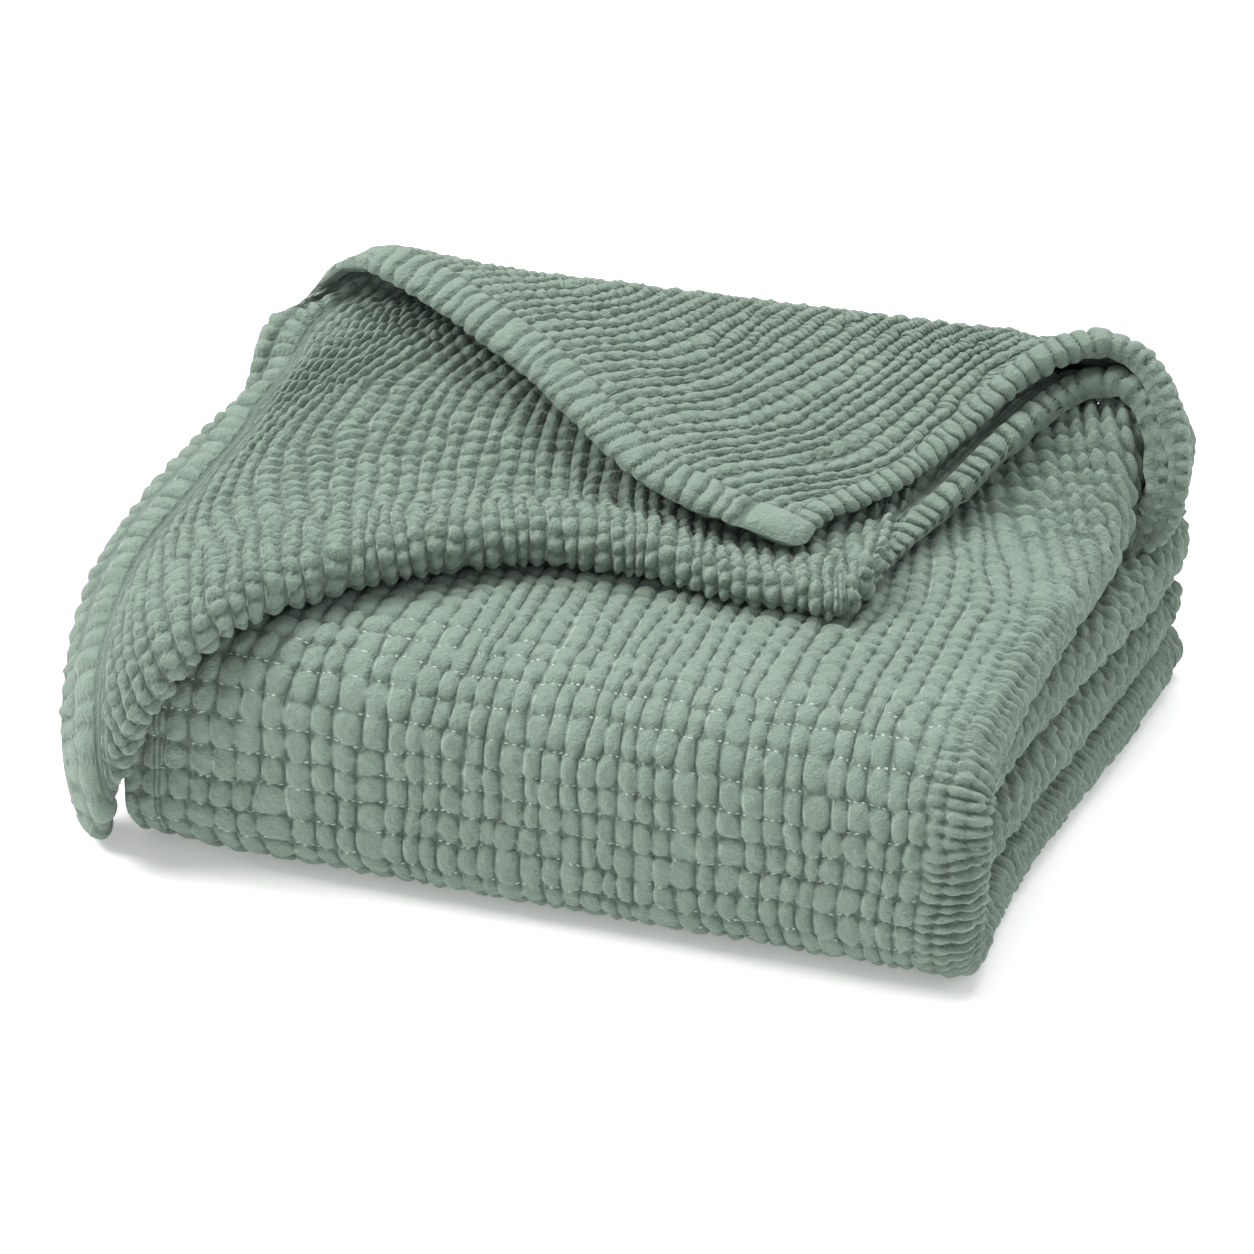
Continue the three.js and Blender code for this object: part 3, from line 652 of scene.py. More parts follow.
def rolled_edge(edge, inward, out, roll, tuck, opened, pace):
    """From the tucked end over the front of the roll to its top."""
    arc_step = mix(math.pi * roll, 5 * pace, opened) / ROLL_STEPS
    tuck_step = mix(tuck, 2 * pace, opened) / TUCK_STEPS
    turn = math.pi * (1 - opened) / ROLL_STEPS
    heading = math.pi - turn * (np.arange(ROLL_STEPS) + 0.5)
    last = math.pi - turn * ROLL_STEPS
    heading = np.append(heading, np.full(TUCK_STEPS, last))
    length = np.append(np.full(ROLL_STEPS, arc_step), np.full(TUCK_STEPS, tuck_step))
    across = np.append(0, np.cumsum(length * np.cos(heading)))
    up = np.append(0, np.cumsum(-length * np.sin(heading)))
    front, under = across.min(), up.min()
    across, up = across[::-1] - front, up[::-1] - under - roll * (1 - opened)
    return edge + across[:, None] * inward + up[:, None] * out


def flap_line(at):
    """One line of the turned corner: tuck, roll, hollow, swell, crest, and forward to the free edge."""
    edge = row_point(FRONT_EDGE, at)
    roll, lean, side, opened = (float(column(FRONT_EDGE, n, at)) for n in ("roll", "lean", "list", "open"))
    lean, side = math.radians(lean), math.radians(side)
    opened = min(1.0, max(0.0, opened))
    hollow, swell = row_point(HOLLOW, at), row_point(SWELL, at)
    push = row_point(SWELL, at, ("pushX", "pushY", "pushZ"))
    crest, free = row_point(CREST, at), row_point(FREE_EDGE, at)
    fold, tilt = float(column(CREST, "fold", at)), math.radians(float(column(CREST, "list", at)))
    bow = row_point(FREE_EDGE, at, ("bowX", "bowY", "bowZ"))
    sway = row_point(SWAY, at)
    out = unit(np.array([math.sin(side), -math.sin(lean), math.cos(lean) * math.cos(side)]))
    inward = square(unit(hollow - edge), out)
    pace = min(HEM_PACE, np.linalg.norm(hollow - edge) / HEM_SHARE)
    tuck = mix(TUCK_MIN, TUCK_MAX, float(ease(TUCK_ROLL, roll)))
    line = rolled_edge(edge, inward, out, roll, tuck, opened, pace)
    over = np.array([math.sin(tilt), 0.0, math.cos(tilt)])
    flat = np.array([1.0, 1.0, 0.0])
    arriving = unit((crest - swell) * flat)
    leaving = unit(((crest + free) / 2 + bow - crest) * flat)
    back = square(arriving - leaving, over)
    beside = np.cross(back, over)
    aside = beside * np.dot(arriving + leaving, beside) / np.linalg.norm(arriving - leaving)
    angles = math.pi * (np.arange(FOLD_STEPS + 1) / FOLD_STEPS - 0.5)
    turned = (crest - over * fold + fold * (np.cos(angles)[:, None] * back
              + np.sin(angles)[:, None] * over + angles[:, None] * aside))
    shoulder = (swell + turned[0]) / 2 + push
    under = through([line[-1], hollow, swell, shoulder, turned[0]], inward, unit(back + aside), UNDER_STEPS)
    top = turned[-1]
    near = mix(top, free, 1 / 3) + bow * BOW_SHARE + sway
    far = mix(top, free, 2 / 3) + bow * BOW_SHARE - sway
    above = through([top, near, far, free], unit(aside - back), unit(free - far), OVER_STEPS)
    return np.concatenate([line, under, turned[1:], above])


def nearest(points, line, batch=8192):
    """Distance of the points of a grid to a line, and how far along the line they are."""
    flat = points.reshape(-1, 3)
    run = np.append(0, np.cumsum(np.linalg.norm(np.diff(line, axis=0), axis=-1)))
    way = unit(np.gradient(line, axis=0))
    off, place = np.empty(len(flat)), np.empty(len(flat))
    for start in range(0, len(flat), batch):
        part = flat[start:start + batch]
        gap = (part ** 2).sum(-1)[:, None] - 2 * part @ line.T + (line ** 2).sum(-1)
        k = gap.argmin(1)
        step = part - line[k]
        ahead = (step * way[k]).sum(-1)
        off[start:start + batch] = np.sqrt(np.maximum(0, (step ** 2).sum(-1) - ahead ** 2))
        place[start:start + batch] = run[k] + ahead
    return off.reshape(points.shape[:2]), place.reshape(points.shape[:2])


def arc(points, axis):
    """Distance along one direction of a grid, from its first line."""
    seg = np.linalg.norm(np.diff(points, axis=axis), axis=-1)
    first = np.zeros_like(np.take(seg, [0], axis))
    return np.concatenate([first, np.cumsum(seg, axis)], axis)


def square_to(points, chain, length):
    """Length along each chain, the same at all points square to its middle line."""
    p_i, p_j = slopes(points)
    c_i, c_j = slopes(chain)
    l_i, l_j = slopes(length)
    way = unit(c_i[..., None] * p_j - c_j[..., None] * p_i)
    t_i, t_j = (p_i * way).sum(-1), (p_j * way).sum(-1)
    area = c_i * t_j - c_j * t_i
    area = np.where(np.abs(area) < 1e-3, 1e-3, area)
    off = chain - np.floor(chain) - 0.5
    return length - np.clip(off * (t_j * l_i - t_i * l_j) / area, -8, 8)


def gathers(d, along, hem):
    """Gathers of a rolled hem, counted along it."""
    _, pitch, seed = hem
    return along / pitch + 0.40 * noise(along / 19, d / 30, seed) + 0.20 * noise(along / 7, d / 6, seed + 3)


def rope(d, along, hem):
    """Rolled hem with gathers across it: its height, and how full each gather is."""
    width, _, seed = hem
    phase = gathers(d, along, hem)
    size = lattice(whole(phase), np.zeros(phase.shape, np.int64), seed + 1)
    full = np.maximum(0, 1 - np.abs(2 * (phase - np.floor(phase)) - 1) ** 3.2) ** 0.65 * (0.80 + 0.35 * size)
    inside = np.clip(1 - ((d - width / 2) / (width / 2 + 1.2)) ** 2, 0, 1) ** 0.5
    crease = 0.10 * noise(along / 2.4, d / 5, seed + 2)
    return (0.35 + 0.65 * inside) * full + 0.08 + crease, full


def corner_stations():
    """Places of the lines of the turned corner, as close as the cloth between them is long."""
    rough = np.linspace(0, LAST_STATION, round(LAST_STATION / FIRST_STEP) + 1)
    lines = np.array([flap_line(at) for at in rough])
    ends = np.linalg.norm(np.diff(lines[:, ::40], axis=0), axis=-1).max(1)
    run = np.append(0, np.cumsum(np.maximum(ends, FIRST_STEP)))
    count = round(run[-1] / STATION_STEP)
    return np.interp(run[-1] * np.arange(count + 1) / count, run, rough)


class Corner:
    """Grid of the turned corner, and how far its points are from its free edges and along them."""

    def __init__(self):
        self.stations = corner_stations()
        self.points = p = np.array([flap_line(at) for at in self.stations])
        n, m = p.shape[:2]
        self.col = np.arange(m)[None, :] + np.zeros((n, 1))
        self.at = self.stations[:, None] + np.zeros((1, m))
        self.is_over = ease((CREST_COLUMN - CREST_BLEND, CREST_COLUMN + CREST_BLEND), self.col)
        self.on_side = ease(SIDE_EASE, self.at)
        self.along, self.across = arc(p, 1), arc(p, 0)
        side_line = p[int(np.searchsorted(self.stations, SIDE_AT)):, 0]
        left, self.along_left = nearest(p, p[0, :CREST_COLUMN + 1])
        flap, self.along_flap = nearest(p, p[0, CREST_COLUMN:])
        free, self.along_free = nearest(p, p[:, -1])
        side, self.along_side = nearest(p, side_line)
        edge = np.minimum(np.where(self.col < CREST_COLUMN + CREST_EDGE, left, FAR),
                          np.where(self.col > CREST_COLUMN - CREST_EDGE, flap, FAR))
        self.flap, self.free = flap + FAR * (1 - self.is_over), free + FAR * (1 - self.is_over)
        self.side = side + FAR * self.is_over
        edge = np.maximum(np.minimum(edge, self.free), 0)
        self.edge = np.minimum(edge, self.along + FAR * (self.at < CORNER_AT))
        self.hem_at = column(HEM_LINE, "station", self.along[:1])
        reach = [np.interp(self.hem_at[0, j], self.stations, self.across[:, j]) for j in range(m)]
        self.band = self.across / np.array(reach)[None, :]


def chain_cells(c):
    """Chains of beads under the crest, and the two columns of beads in the left hem."""
    pace = mix(CHAIN_NEAR, CHAIN_FAR, ease(CHAIN_EASE, c.along))
    on_roll = c.col < CHAIN_COLUMN
    in_hem = (c.at < c.hem_at) & (c.is_over < 0.5)
    chains = np.where(on_roll, (c.at - CORNER_AT) / CHAIN_ROLL - 200, (c.at - CORNER_AT) / pace)
    chains = np.where(in_hem, 2 * c.band - 100, chains)
    wander = 0.30 + (0.55 + 0.5 * on_roll) * ease((1.0, 1.15), c.band)
    _, rib = warped(c.along / CHAIN_WANDER, chains, 41, wander)
    row = square_to(c.points, rib, c.along) / np.where(on_roll, ROLL_ROW, CHAIN_ROW)
    return rib, staggered(rib, np.where(in_hem, c.along_left / HEM_ROW, row), 43)


def rib_cells(c):
    """Ribs with beads over the crest, square to the free edge."""
    back = c.along[:, -1:] - c.along
    sweep = SWEEP * (1 - ease(SWEEP_IN, c.flap))
    _, rib = warped(c.across / RIB_WANDER, (back - sweep) / RIB_PITCH, 53)
    return rib, staggered(rib, square_to(c.points, rib, c.across) / RIB_ROW, 55)


def plug(c, on_flap):
    """Smooth stitched end of the flap's hem: how much of it, its height, and the groove before it."""
    ahead = c.along_flap - c.along_flap[0, -1]
    share = ease(PLUG_FROM, ahead) * on_flap
    ahead = ahead + PLUG_BACK
    pillow = np.clip(1 - ((c.flap - PLUG_MID) / PLUG_WIDE) ** 2, 0, 1) ** 0.7
    pillow = pillow * np.clip(1 - np.abs(ahead / PLUG_HALF) ** 2.4, 0.0, 1) ** 0.7
    groove = np.exp(-((ahead + PLUG_GROOVE[0]) / PLUG_GROOVE[1]) ** 2) * on_flap
    return share, 2.3 * pillow - 0.25 + 0.08 * noise(c.along_flap / 4, c.flap / 4, 77), groove


def rounded_corner(c, down, ahead):
    """Move that rounds the corner of the cloth at the end of the flap's hem."""
    in_flap, in_free = np.maximum(0, PLUG_ROUND - c.flap), np.maximum(0, PLUG_ROUND - c.free)
    pull = 1 - np.maximum(in_flap, in_free) / np.maximum(np.hypot(in_flap, in_free), 1e-6)
    near = (c.along_flap - c.along_flap[0, -1] > -40) & (c.flap < FAR) & (c.free < FAR)
    pull = np.where(near & (in_flap > 0) & (in_free > 0), pull, 0)
    return down * (pull * in_flap)[..., None] - ahead * (pull * in_free)[..., None]


def seam_distance(c):
    """Distance from the free edges, as the stitch lines see it."""
    left = SEAM_MID * c.band + FAR * c.is_over
    side = c.side + SEAM_AT - SIDE_SEAM + FAR * (c.at < SIDE_EASE[0])
    hem = np.minimum(left, side)
    tucked = TUCK_SEAM * (TUCK_SEAM_AT - c.at) + FAR * (c.at > SIDE_AT)
    return np.where(c.col > SEAM_COLUMN, hem, np.minimum(hem, tucked))


def hem_cells(mask, d, along, hem, cells):
    """Ribs and rows, with those of a rolled hem where the mask says."""
    rib, row = cells
    inside = mask > 0.5
    return np.where(inside, d / hem[0] - 200, rib), np.where(inside, gathers(d, along, hem), row)


def turned_corner(material):
    """The corner that is turned over, in four pieces."""
    c = Corner()
    under, over = chain_cells(c), rib_cells(c)
    row_s, rib_s = warped(c.along_side / SIDE_ROW, c.side / SIDE_PITCH, 67)
    h = pucker(under[1], under[0], 1.25, 1.30, 41, 1.4, 2.2)
    h = mix(h, pucker(row_s, rib_s, 0.85, 1.0, 67), c.on_side)
    h = mix(h, pucker(over[1], over[0], 0.72, 1.15, 53, 1.5, 2.3), c.is_over)

    # Hems: how much of each, and their height
    on_flap = (1 - ease(FLAP_EASE, c.flap)) * c.is_over
    on_free = (1 - ease(THIN_EASE, c.free)) * c.is_over * (1 - on_flap)
    on_front = (1 - ease(THIN_EASE, c.side)) * (1 - c.is_over) * ease(HEM_SIDE, c.at)
    flap_height, flap_full = rope(c.flap, c.along_flap, FLAP_HEM)
    free_height, free_full = rope(c.free, c.along_free, FREE_HEM)
    side_height, side_full = rope(c.side, c.along_side, SIDE_HEM)
    h = mix(mix(h, 1.3 * flap_height, on_flap), 1.15 * free_height, on_free)
    h = mix(h, 0.15 + 0.95 * side_height, on_front)
    on_plug, plug_height, groove = plug(c, on_flap)
    h = mix(h, plug_height, on_plug) - 0.9 * groove

    # Scalloped edges
    p = c.points
    down, ahead = (unit(way) for way in slopes(p))
    p = p - down * (SCALLOP * (flap_full - 0.6) * on_flap * (1 - on_plug) * np.exp(-c.flap / 7))[..., None]
    p = p + ahead * (SCALLOP * (free_full - 0.6) * on_free * np.exp(-c.free / 5))[..., None]
    p = p - ahead * (SCALLOP * (side_full - 0.6) * on_front * np.exp(-c.side / 5))[..., None]
    p = p + rounded_corner(c, down, ahead)

    # Thickness
    hem = seam_distance(c)
    valley = np.exp(-((hem - SEAM_MID) / VALLEY_WIDTH) ** 2)
    swell = mix(UNDER_SWELL, OVER_SWELL, c.is_over) * (h - FLAT_CELL) * (1 - 0.7 * valley)
    swell = swell - VALLEY_DEPTH * valley
    swell = swell + HEM_SWELL * ease(HEM_SWELL_AT, c.at) * np.clip(on_free + on_front, 0, 1)
    near_peak = np.exp(-((c.along - PEAK_AT) / PEAK_LENGTH) ** 2)
    swell = swell + PEAK_FULL * near_peak * (1 - ease(PEAK_IN, c.across))
    half = np.maximum(CLOTH / 2 + swell, LEAST_HALF) * edge_fall(c.edge, 3.4)
    normal = grid_normals(p)
    upper, lower = above_floor(p + normal * half[..., None]), above_floor(p - normal * half[..., None])

    over = hem_cells(on_flap, c.flap, c.along_flap, FLAP_HEM, over)
    over = hem_cells(on_free, c.free, c.along_free, FREE_HEM, over)
    under = [np.where(c.on_side > 0.5, s, u) for s, u in zip((rib_s, row_s), under)]
    under = hem_cells(on_front, c.side, c.along_side, SIDE_HEM, under)
    marks = {
        # Height of the cells for the painted shade in the material, with more painted shade along the seam
        # valley and less on the turned-over layer
        "puff": h - 0.25 * valley + 0.12 * c.is_over,
        "ribs": 1 - np.clip(on_flap + on_free + on_front + c.on_side * (1 - c.is_over), 0, 1),
        "hem": hem,
        "stitch": np.zeros_like(h),
        "beads": (1 - on_plug) * (1 - 0.8 * valley),
    }
    half_way = len(p) // 2
    left, right = slice(0, half_way + 1), slice(half_way, len(p))
    below, above = slice(0, CREST_COLUMN + 1), slice(CREST_COLUMN, p.shape[1])
    runs = (("under", below, upper, lower, under), ("over", above, lower, upper, over))
    for run, cols, outer, inner, cells in runs:
        for side, rows in (("left", left), ("right", right)):
            cut = (rows, cols)
            obj = sheet_mesh(f"corner_{run}_{side}", outer, inner, np.stack(cells, -1), marks, material, cut)
            size = (float(arc(p[cut], 0)[-1].mean()) / 1000, float(arc(p[cut], 1)[:, -1].mean()) / 1000)


# Material

SAGE, SAGE_PALE = (0.168, 0.226, 0.184), (0.192, 0.253, 0.209)
# The last colour on the next line is painted shade, laid into the grooves between the cells
MOTTLE, GRAIN, GROOVE_SHADE = (0.262, 0.334, 0.282), (0.275, 0.35, 0.296), (0.062, 0.092, 0.073)
# The first colour on the next line is a painted highlight, a pale line along the left edge of each rib as
# though lit from the left
RIM_HIGHLIGHT, STITCH = (0.42, 0.50, 0.44), (0.55, 0.63, 0.57)
MOTTLE_SHARE, GRAIN_SHARE, GROOVE_SHADE_SHARE, RIM_HIGHLIGHT_SHARE, STITCH_SHARE = 0.35, 0.48, 0.56, 0.5, 0.85
MARKS = ("puff", "ribs", "hem", "stitch", "beads")  # attributes of the meshes that the material reads
# Scale, detail and roughness of the noises
BROAD, MOTTLED, WEAVE, CRINKLED = (9.0, 3.0, 0.5), (120.0, 4.0, 0.6), (1150.0, 2.0, 0.75), (210.0, 3.0, 0.65)
DOTS, DOT_HALF = 3.0, 0.22  # stitch dots in the width of a cell
GROOVE_DEPTH, CRINKLE_HEIGHT, BEAD_HEIGHT, GRAIN_HEIGHT, STITCH_HEIGHT = 0.9, 3.3, 1.4, 0.55, 0.35
BUMP_STRENGTH, BUMP_DISTANCE = 0.75, 0.0011
ROUGHNESS, SPECULAR, SHEEN, SHEEN_ROUGHNESS, SHEEN_TINT = 0.92, 0.25, 0.30, 0.45, (0.82, 0.92, 0.85)


class Nodes:
    """Shader nodes of one material."""

    def __init__(self, tree):
        self.tree = tree
        tree.nodes.clear()

    def add(self, kind, **values):
        made = self.tree.nodes.new(kind)
        for key, value in values.items():
            setattr(made, key, value)
        return made

    def feed(self, socket, value):
        """Number, colour or link into a socket."""
        if isinstance(value, tuple):
            socket.default_value = (*value, 1)
        elif isinstance(value, (int, float)):
            socket.default_value = value
        else:
            self.tree.links.new(value, socket)

    def maths(self, operation, *values):
        made = self.add("ShaderNodeMath", operation=operation)
        for socket, value in zip(made.inputs, values):
            self.feed(socket, value)
        return made.outputs[0]

    def minus(self, a, b):
        return self.maths("SUBTRACT", a, b)

    def plus(self, a, b):
        return self.maths("ADD", a, b)

    def times(self, a, *others):
        for b in others:
            a = self.maths("MULTIPLY", a, b)
        return a

    def most(self, a, b):
        return self.maths("MAXIMUM", a, b)

    def off_centre(self, count):
        """Distance from the middle of a cell, from 0 to a half."""
        return self.maths("ABSOLUTE", self.minus(self.maths("FRACT", count), 0.5))

    def ramp(self, value, low, high):
        made = self.add("ShaderNodeMapRange", interpolation_type="SMOOTHSTEP")
        for name, given in (("Value", value), ("From Min", low), ("From Max", high)):
            self.feed(made.inputs[name], given)
        return made.outputs["Result"]

    def blend(self, share, a, b):
        made = self.add("ShaderNodeMix", data_type="RGBA")
        for socket, value in ((made.inputs["Factor"], share), (made.inputs[6], a), (made.inputs[7], b)):
            self.feed(socket, value)
        return made.outputs[2]

    def attribute(self, name):
        return self.add("ShaderNodeAttribute", attribute_name=name).outputs["Fac"]

    def speckle(self, coords, look):
        made = self.add("ShaderNodeTexNoise")
        for name, value in zip(("Vector", "Scale", "Detail", "Roughness"), (coords, *look)):
            self.feed(made.inputs[name], value)
        return made.outputs["Fac"]


def stitch_dots(n, rib, row, y, stitch):
    """Short pale dashes of stitching between the rows, some of them missing."""
    place = n.add("ShaderNodeCombineXYZ")
    thirds = n.times(rib, DOTS)
    n.feed(place.inputs["X"], n.maths("FLOOR", thirds))
    n.feed(place.inputs["Y"], n.maths("FLOOR", n.plus(row, 0.5)))
    spot = n.add("ShaderNodeTexWhiteNoise", noise_dimensions="2D")
    n.feed(spot.inputs["Vector"], place.outputs[0])
    dash = n.maths("LESS_THAN", n.off_centre(thirds), DOT_HALF)
    return n.times(dash, n.ramp(spot.outputs["Value"], 0.35, 0.6), n.ramp(y, 0.93, 0.965), stitch)


def gauze():
    """Puckered gauze, by the cells in the uv layer and the marks of the mesh."""
    mat = bpy.data.materials.new("gauze")
    mat.use_nodes = True
    n = Nodes(mat.node_tree)
    split = n.add("ShaderNodeSeparateXYZ")
    n.feed(split.inputs[0], n.add("ShaderNodeUVMap", uv_map="cells").outputs["UV"])
    rib, row = split.outputs["X"], split.outputs["Y"]
    x, y = n.times(n.off_centre(rib), 2.0), n.times(n.off_centre(row), 2.0)
    puff, ribs, hem, stitch, beads = (n.attribute(mark) for mark in MARKS)

    # Where the grooves, beads and seams are, for the painted shade in the colour and for the bump
    from_seam = n.minus(n.maths("ABSOLUTE", n.minus(hem, SEAM_MID)), SEAM_GAP / 2)
    seam = n.minus(1.0, n.ramp(n.maths("ABSOLUTE", from_seam), 0.25, 0.75))
    round_x = n.times(n.maths("POWER", x, 2.2), 0.92)
    round_y = n.times(n.maths("POWER", y, 2.4), 0.80)
    bead = n.maths("SQRT", n.most(n.minus(1.0, n.plus(round_x, round_y)), 0.0))
    # Painted shade: between the beads, and where the cells are low
    between = n.times(n.minus(1.0, n.ramp(bead, 0.10, 0.62)), beads)
    sunk_shade = n.minus(1.0, n.ramp(puff, 0.10, 0.68))
    sunk_shade = n.times(sunk_shade, n.minus(1.0, n.times(beads, 0.2)))
    sunk_shade = n.most(sunk_shade, n.times(between, 0.6))
    fine_line = n.times(n.ramp(x, 0.80, 1.0), ribs, sunk_shade)
    groove = n.most(n.most(sunk_shade, fine_line), seam)

    # Colour: sage, with painted shade in the grooves and a painted highlight on a thin line at the left edge
    # of each rib
    coords = n.add("ShaderNodeTexCoord").outputs["Object"]
    broad, mottled, grain = (n.speckle(coords, look) for look in (BROAD, MOTTLED, WEAVE))
    colour = n.blend(n.ramp(broad, 0.3, 0.7), SAGE, SAGE_PALE)
    colour = n.blend(n.times(n.ramp(mottled, 0.35, 0.75), MOTTLE_SHARE), colour, MOTTLE)
    colour = n.blend(n.times(n.ramp(grain, 0.40, 0.66), GRAIN_SHARE), colour, GRAIN)
    # Painted shade laid into the grooves, between the beads and along the seams
    colour = n.blend(n.times(groove, GROOVE_SHADE_SHARE), colour, GROOVE_SHADE)
    # Painted highlight: a pale line near the left edge of each rib, broken up by the mottle, as though the
    # key light from the left caught it
    leftward = n.maths("FRACT", rib)
    rim_highlight = n.times(n.ramp(leftward, 0.05, 0.10), n.minus(1.0, n.ramp(leftward, 0.12, 0.2)))
    rim_highlight = n.times(rim_highlight, ribs, n.ramp(mottled, 0.45, 0.6))
    colour = n.blend(n.times(rim_highlight, RIM_HIGHLIGHT_SHARE), colour, RIM_HIGHLIGHT)
    dash = stitch_dots(n, rib, row, y, stitch)
    colour = n.blend(n.times(dash, STITCH_SHARE), colour, STITCH)

    # Relief: sharp grooves, crinkles and the grain of the weave
    crinkle = n.maths("ABSOLUTE", n.minus(n.speckle(coords, CRINKLED), 0.5))
    height = n.times(n.most(fine_line, seam), -GROOVE_DEPTH)
    height = n.plus(height, n.times(crinkle, CRINKLE_HEIGHT))
    height = n.plus(height, n.times(bead, beads, BEAD_HEIGHT))
    height = n.plus(height, n.times(grain, GRAIN_HEIGHT))
    height = n.plus(height, n.times(dash, STITCH_HEIGHT))
    bump = n.add("ShaderNodeBump")
    bump.inputs["Strength"].default_value = BUMP_STRENGTH
    bump.inputs["Distance"].default_value = BUMP_DISTANCE
    n.feed(bump.inputs["Height"], height)

    cloth = n.add("ShaderNodeBsdfPrincipled")
    n.feed(cloth.inputs["Base Color"], colour)
    cloth.inputs["Roughness"].default_value = ROUGHNESS
    cloth.inputs["Specular IOR Level"].default_value = SPECULAR
    cloth.inputs["Sheen Weight"].default_value = SHEEN
    cloth.inputs["Sheen Roughness"].default_value = SHEEN_ROUGHNESS
    cloth.inputs["Sheen Tint"].default_value = (*SHEEN_TINT, 1)
    n.feed(cloth.inputs["Normal"], bump.outputs["Normal"])
    n.feed(n.add("ShaderNodeOutputMaterial").inputs["Surface"], cloth.outputs[0])
    return mat


GAUZE = gauze()

# Pieces of the bundle's outer and innermost layer: places along the packs and across the cloth,
# each with the pace of the points from there
LOOP_END = FIRST_LOOP + 12
ACROSS_FINE = steps((0, 1.0), (LOOP_END, 1))
WRAP = {
    "throw_wrap_bottom": (steps((0, 1.25), (252, 1)), steps((0, 8), (330, 2), (LOOP_END, 1))),
    "throw_wrap_front": (steps((252, 0.6), (322, 0.9), (352, 1)), ACROSS_FINE),
    "throw_wrap_top": (steps((352, 0.9), (372, 1.2), (462, 1)), ACROSS_FINE),
    "throw_wrap_shelf": (steps((462, 1.3), (610, 1)), steps((0, 4), (220, 1.3), (LOOP_END, 1))),
    "throw_wrap_back": (steps((610, 2), (680, 1)), steps((0, 2), (330, 1.4), (LOOP_END, 1))),
    "throw_wrap_inside": (steps((680, 1.25), (PACK_LENGTH, 1)),
                          steps((0, 4), (20, 10), (LAYER_WIDTH - 50, 2), (LOOP_END, 1))),
}
for name, (along, across) in WRAP.items():
    bundle_part(name, along, across, GAUZE)
    _, _, turned = pack_path(along[[0, -1]])

# All its other layers, fine only round their loops
SECOND_LOOP = FIRST_LOOP + LAYER_WIDTH
THIRD_LOOP = SECOND_LOOP + LAYER_WIDTH
layers = bundle_part(
    "throw_layers",
    steps((0, 5), (PACK_LENGTH, 1)),
    steps((LOOP_END, 8), (SECOND_LOOP - 20, 3), (SECOND_LOOP + 32, 9), (THIRD_LOOP, 4), (THIRD_LOOP + 24, 9),
          (LAYER_LENGTH - 20, 3), (LAYER_LENGTH, 1)),
    GAUZE)
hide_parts("throw")
turned_corner(GAUZE)

# Studio, in metres
FLOOR_HALF, FLOOR_RISE, FLOOR_ROWS, FLOOR_FLAT, FLOOR_DOWN = 6.0, 4.0, 24, 0.72, 0.0004
FLOOR_GREY, FLOOR_ROUGHNESS, FLOOR_GLOW = 0.93, 0.9, 0.24
AIM = (0, 0, 0.05)
# Name, place, size, power and colour of the lights
LIGHTS = [
    ("key", (-1.6, -0.5, 1.9), 1.1, 50, (1.0, 0.99, 0.97)),
    ("fill", (2.2, 0.3, 1.2), 2.0, 9, (0.97, 0.99, 1.0)),
    ("top", (0.1, 0.7, 2.5), 1.8, 46, (1, 1, 1)),
]
WORLD_STRENGTH = 0.52
CAMERA_AZIMUTH, CAMERA_ELEVATION = 17.0, 31.0
CAMERA_DISTANCE = 1.748
TARGET = Vector((0.00412, -0.00911, 0.070))
IMAGE_SIZE, FOCAL_PIXELS, SENSOR = 1254, 3800, 36
LENS = FOCAL_PIXELS * SENSOR / IMAGE_SIZE


def floor_material():
    mat = bpy.data.materials.new("paper")
    mat.use_nodes = True
    paper = mat.node_tree.nodes["Principled BSDF"]
    paper.inputs["Base Color"].default_value = (FLOOR_GREY, FLOOR_GREY, FLOOR_GREY, 1)
    paper.inputs["Roughness"].default_value = FLOOR_ROUGHNESS
    paper.inputs["Emission Color"].default_value = (1, 1, 1, 1)
    paper.inputs["Emission Strength"].default_value = FLOOR_GLOW
    return mat


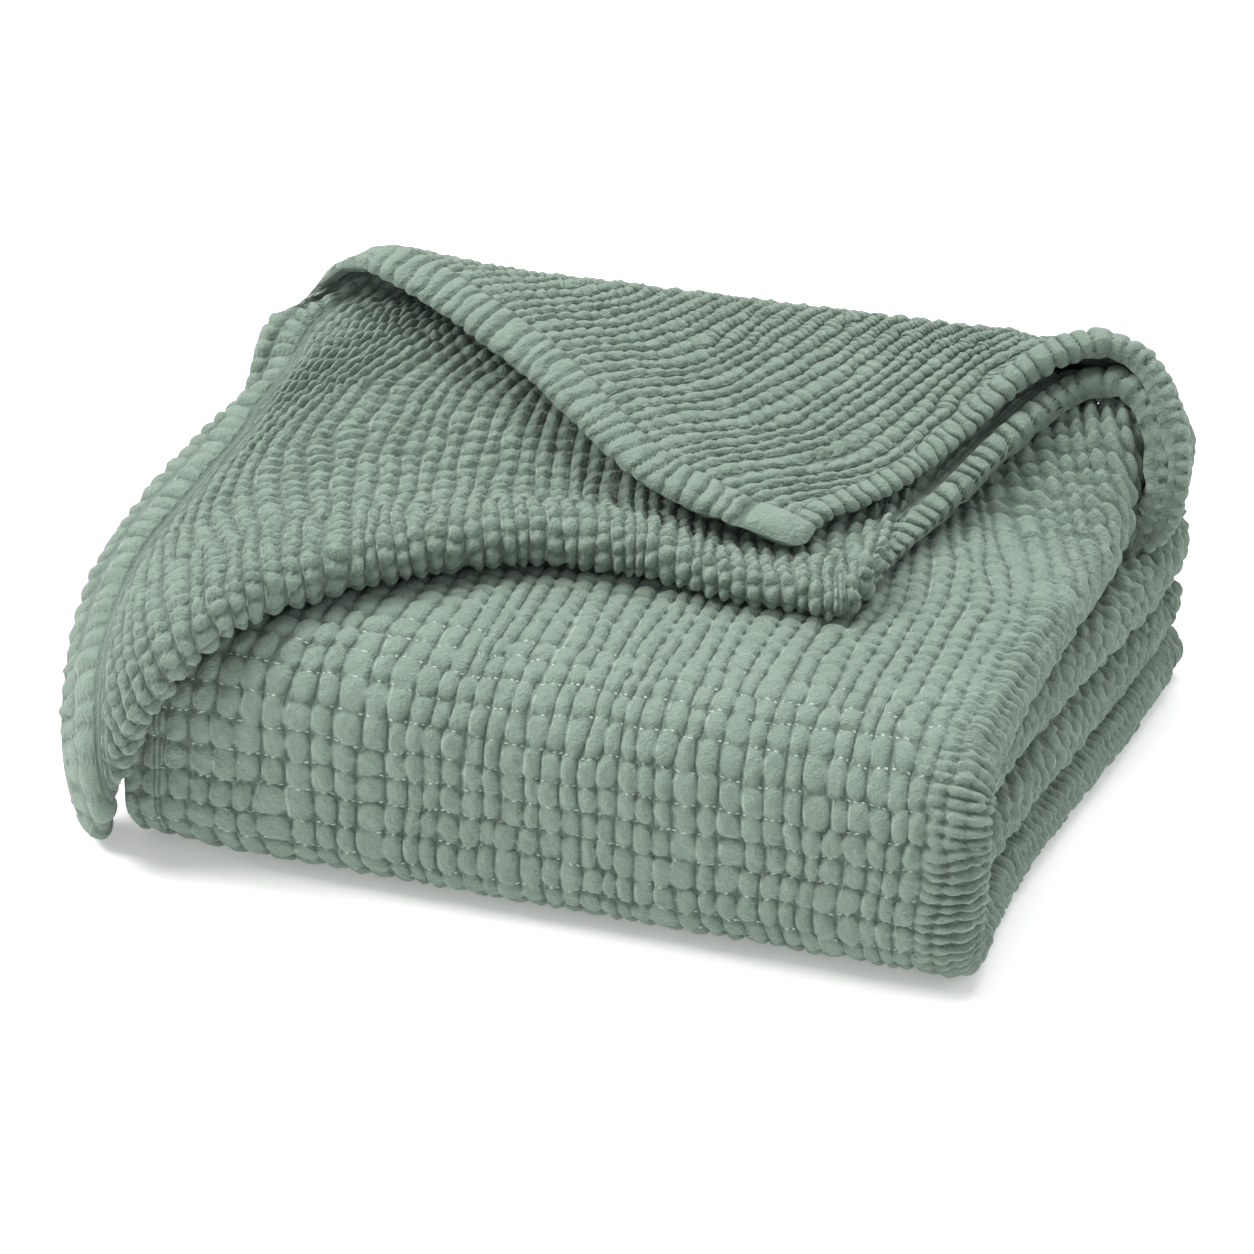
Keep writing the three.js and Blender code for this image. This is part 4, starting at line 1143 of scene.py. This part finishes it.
def floor():
    """Floor that curves up behind the object."""
    verts, faces = [], []
    for i in range(FLOOR_ROWS + 1):
        k = i / FLOOR_ROWS
        y = -FLOOR_HALF + 2 * FLOOR_HALF * k
        z = -FLOOR_DOWN + FLOOR_RISE * max(0.0, (k - FLOOR_FLAT) / (1 - FLOOR_FLAT)) ** 2
        verts += [(-FLOOR_HALF, y, z), (FLOOR_HALF, y, z)]
        if i:
            faces.append((2 * i - 2, 2 * i - 1, 2 * i + 1, 2 * i))
    mesh = bpy.data.meshes.new("floor")
    mesh.from_pydata(verts, [], faces)
    mesh.polygons.foreach_set("use_smooth", np.ones(len(faces), bool))
    mesh.materials.append(floor_material())
    obj = bpy.data.objects.new("floor", mesh)
    bpy.context.scene.collection.objects.link(obj)


def area_light(name, place, size, power, colour):
    data = bpy.data.lights.new(name, "AREA")
    data.shape = "DISK"
    data.size = size
    data.energy = power
    data.color = colour
    obj = bpy.data.objects.new(name, data)
    obj.location = place
    obj.rotation_euler = (Vector(AIM) - Vector(place)).to_track_quat("-Z", "Y").to_euler()
    bpy.context.scene.collection.objects.link(obj)


def camera():
    a, e = math.radians(CAMERA_AZIMUTH), math.radians(CAMERA_ELEVATION)
    back = Vector((math.sin(a) * math.cos(e), -math.cos(a) * math.cos(e), math.sin(e)))
    data = bpy.data.cameras.new("camera")
    data.lens = LENS
    data.sensor_width = SENSOR
    data.clip_start = 0.05
    obj = bpy.data.objects.new("camera", data)
    obj.location = TARGET + back * CAMERA_DISTANCE
    obj.rotation_euler = (-back).to_track_quat("-Z", "Y").to_euler()
    bpy.context.scene.collection.objects.link(obj)
    bpy.context.scene.camera = obj


def studio():
    floor()
    for light in LIGHTS:
        area_light(*light)
    world = bpy.data.worlds.new("studio")
    bpy.context.scene.world = world
    world.use_nodes = True
    background = world.node_tree.nodes["Background"]
    background.inputs["Color"].default_value = (1, 1, 1, 1)
    background.inputs["Strength"].default_value = WORLD_STRENGTH
    bpy.context.scene.view_settings.view_transform = "Standard"
    camera()


studio()
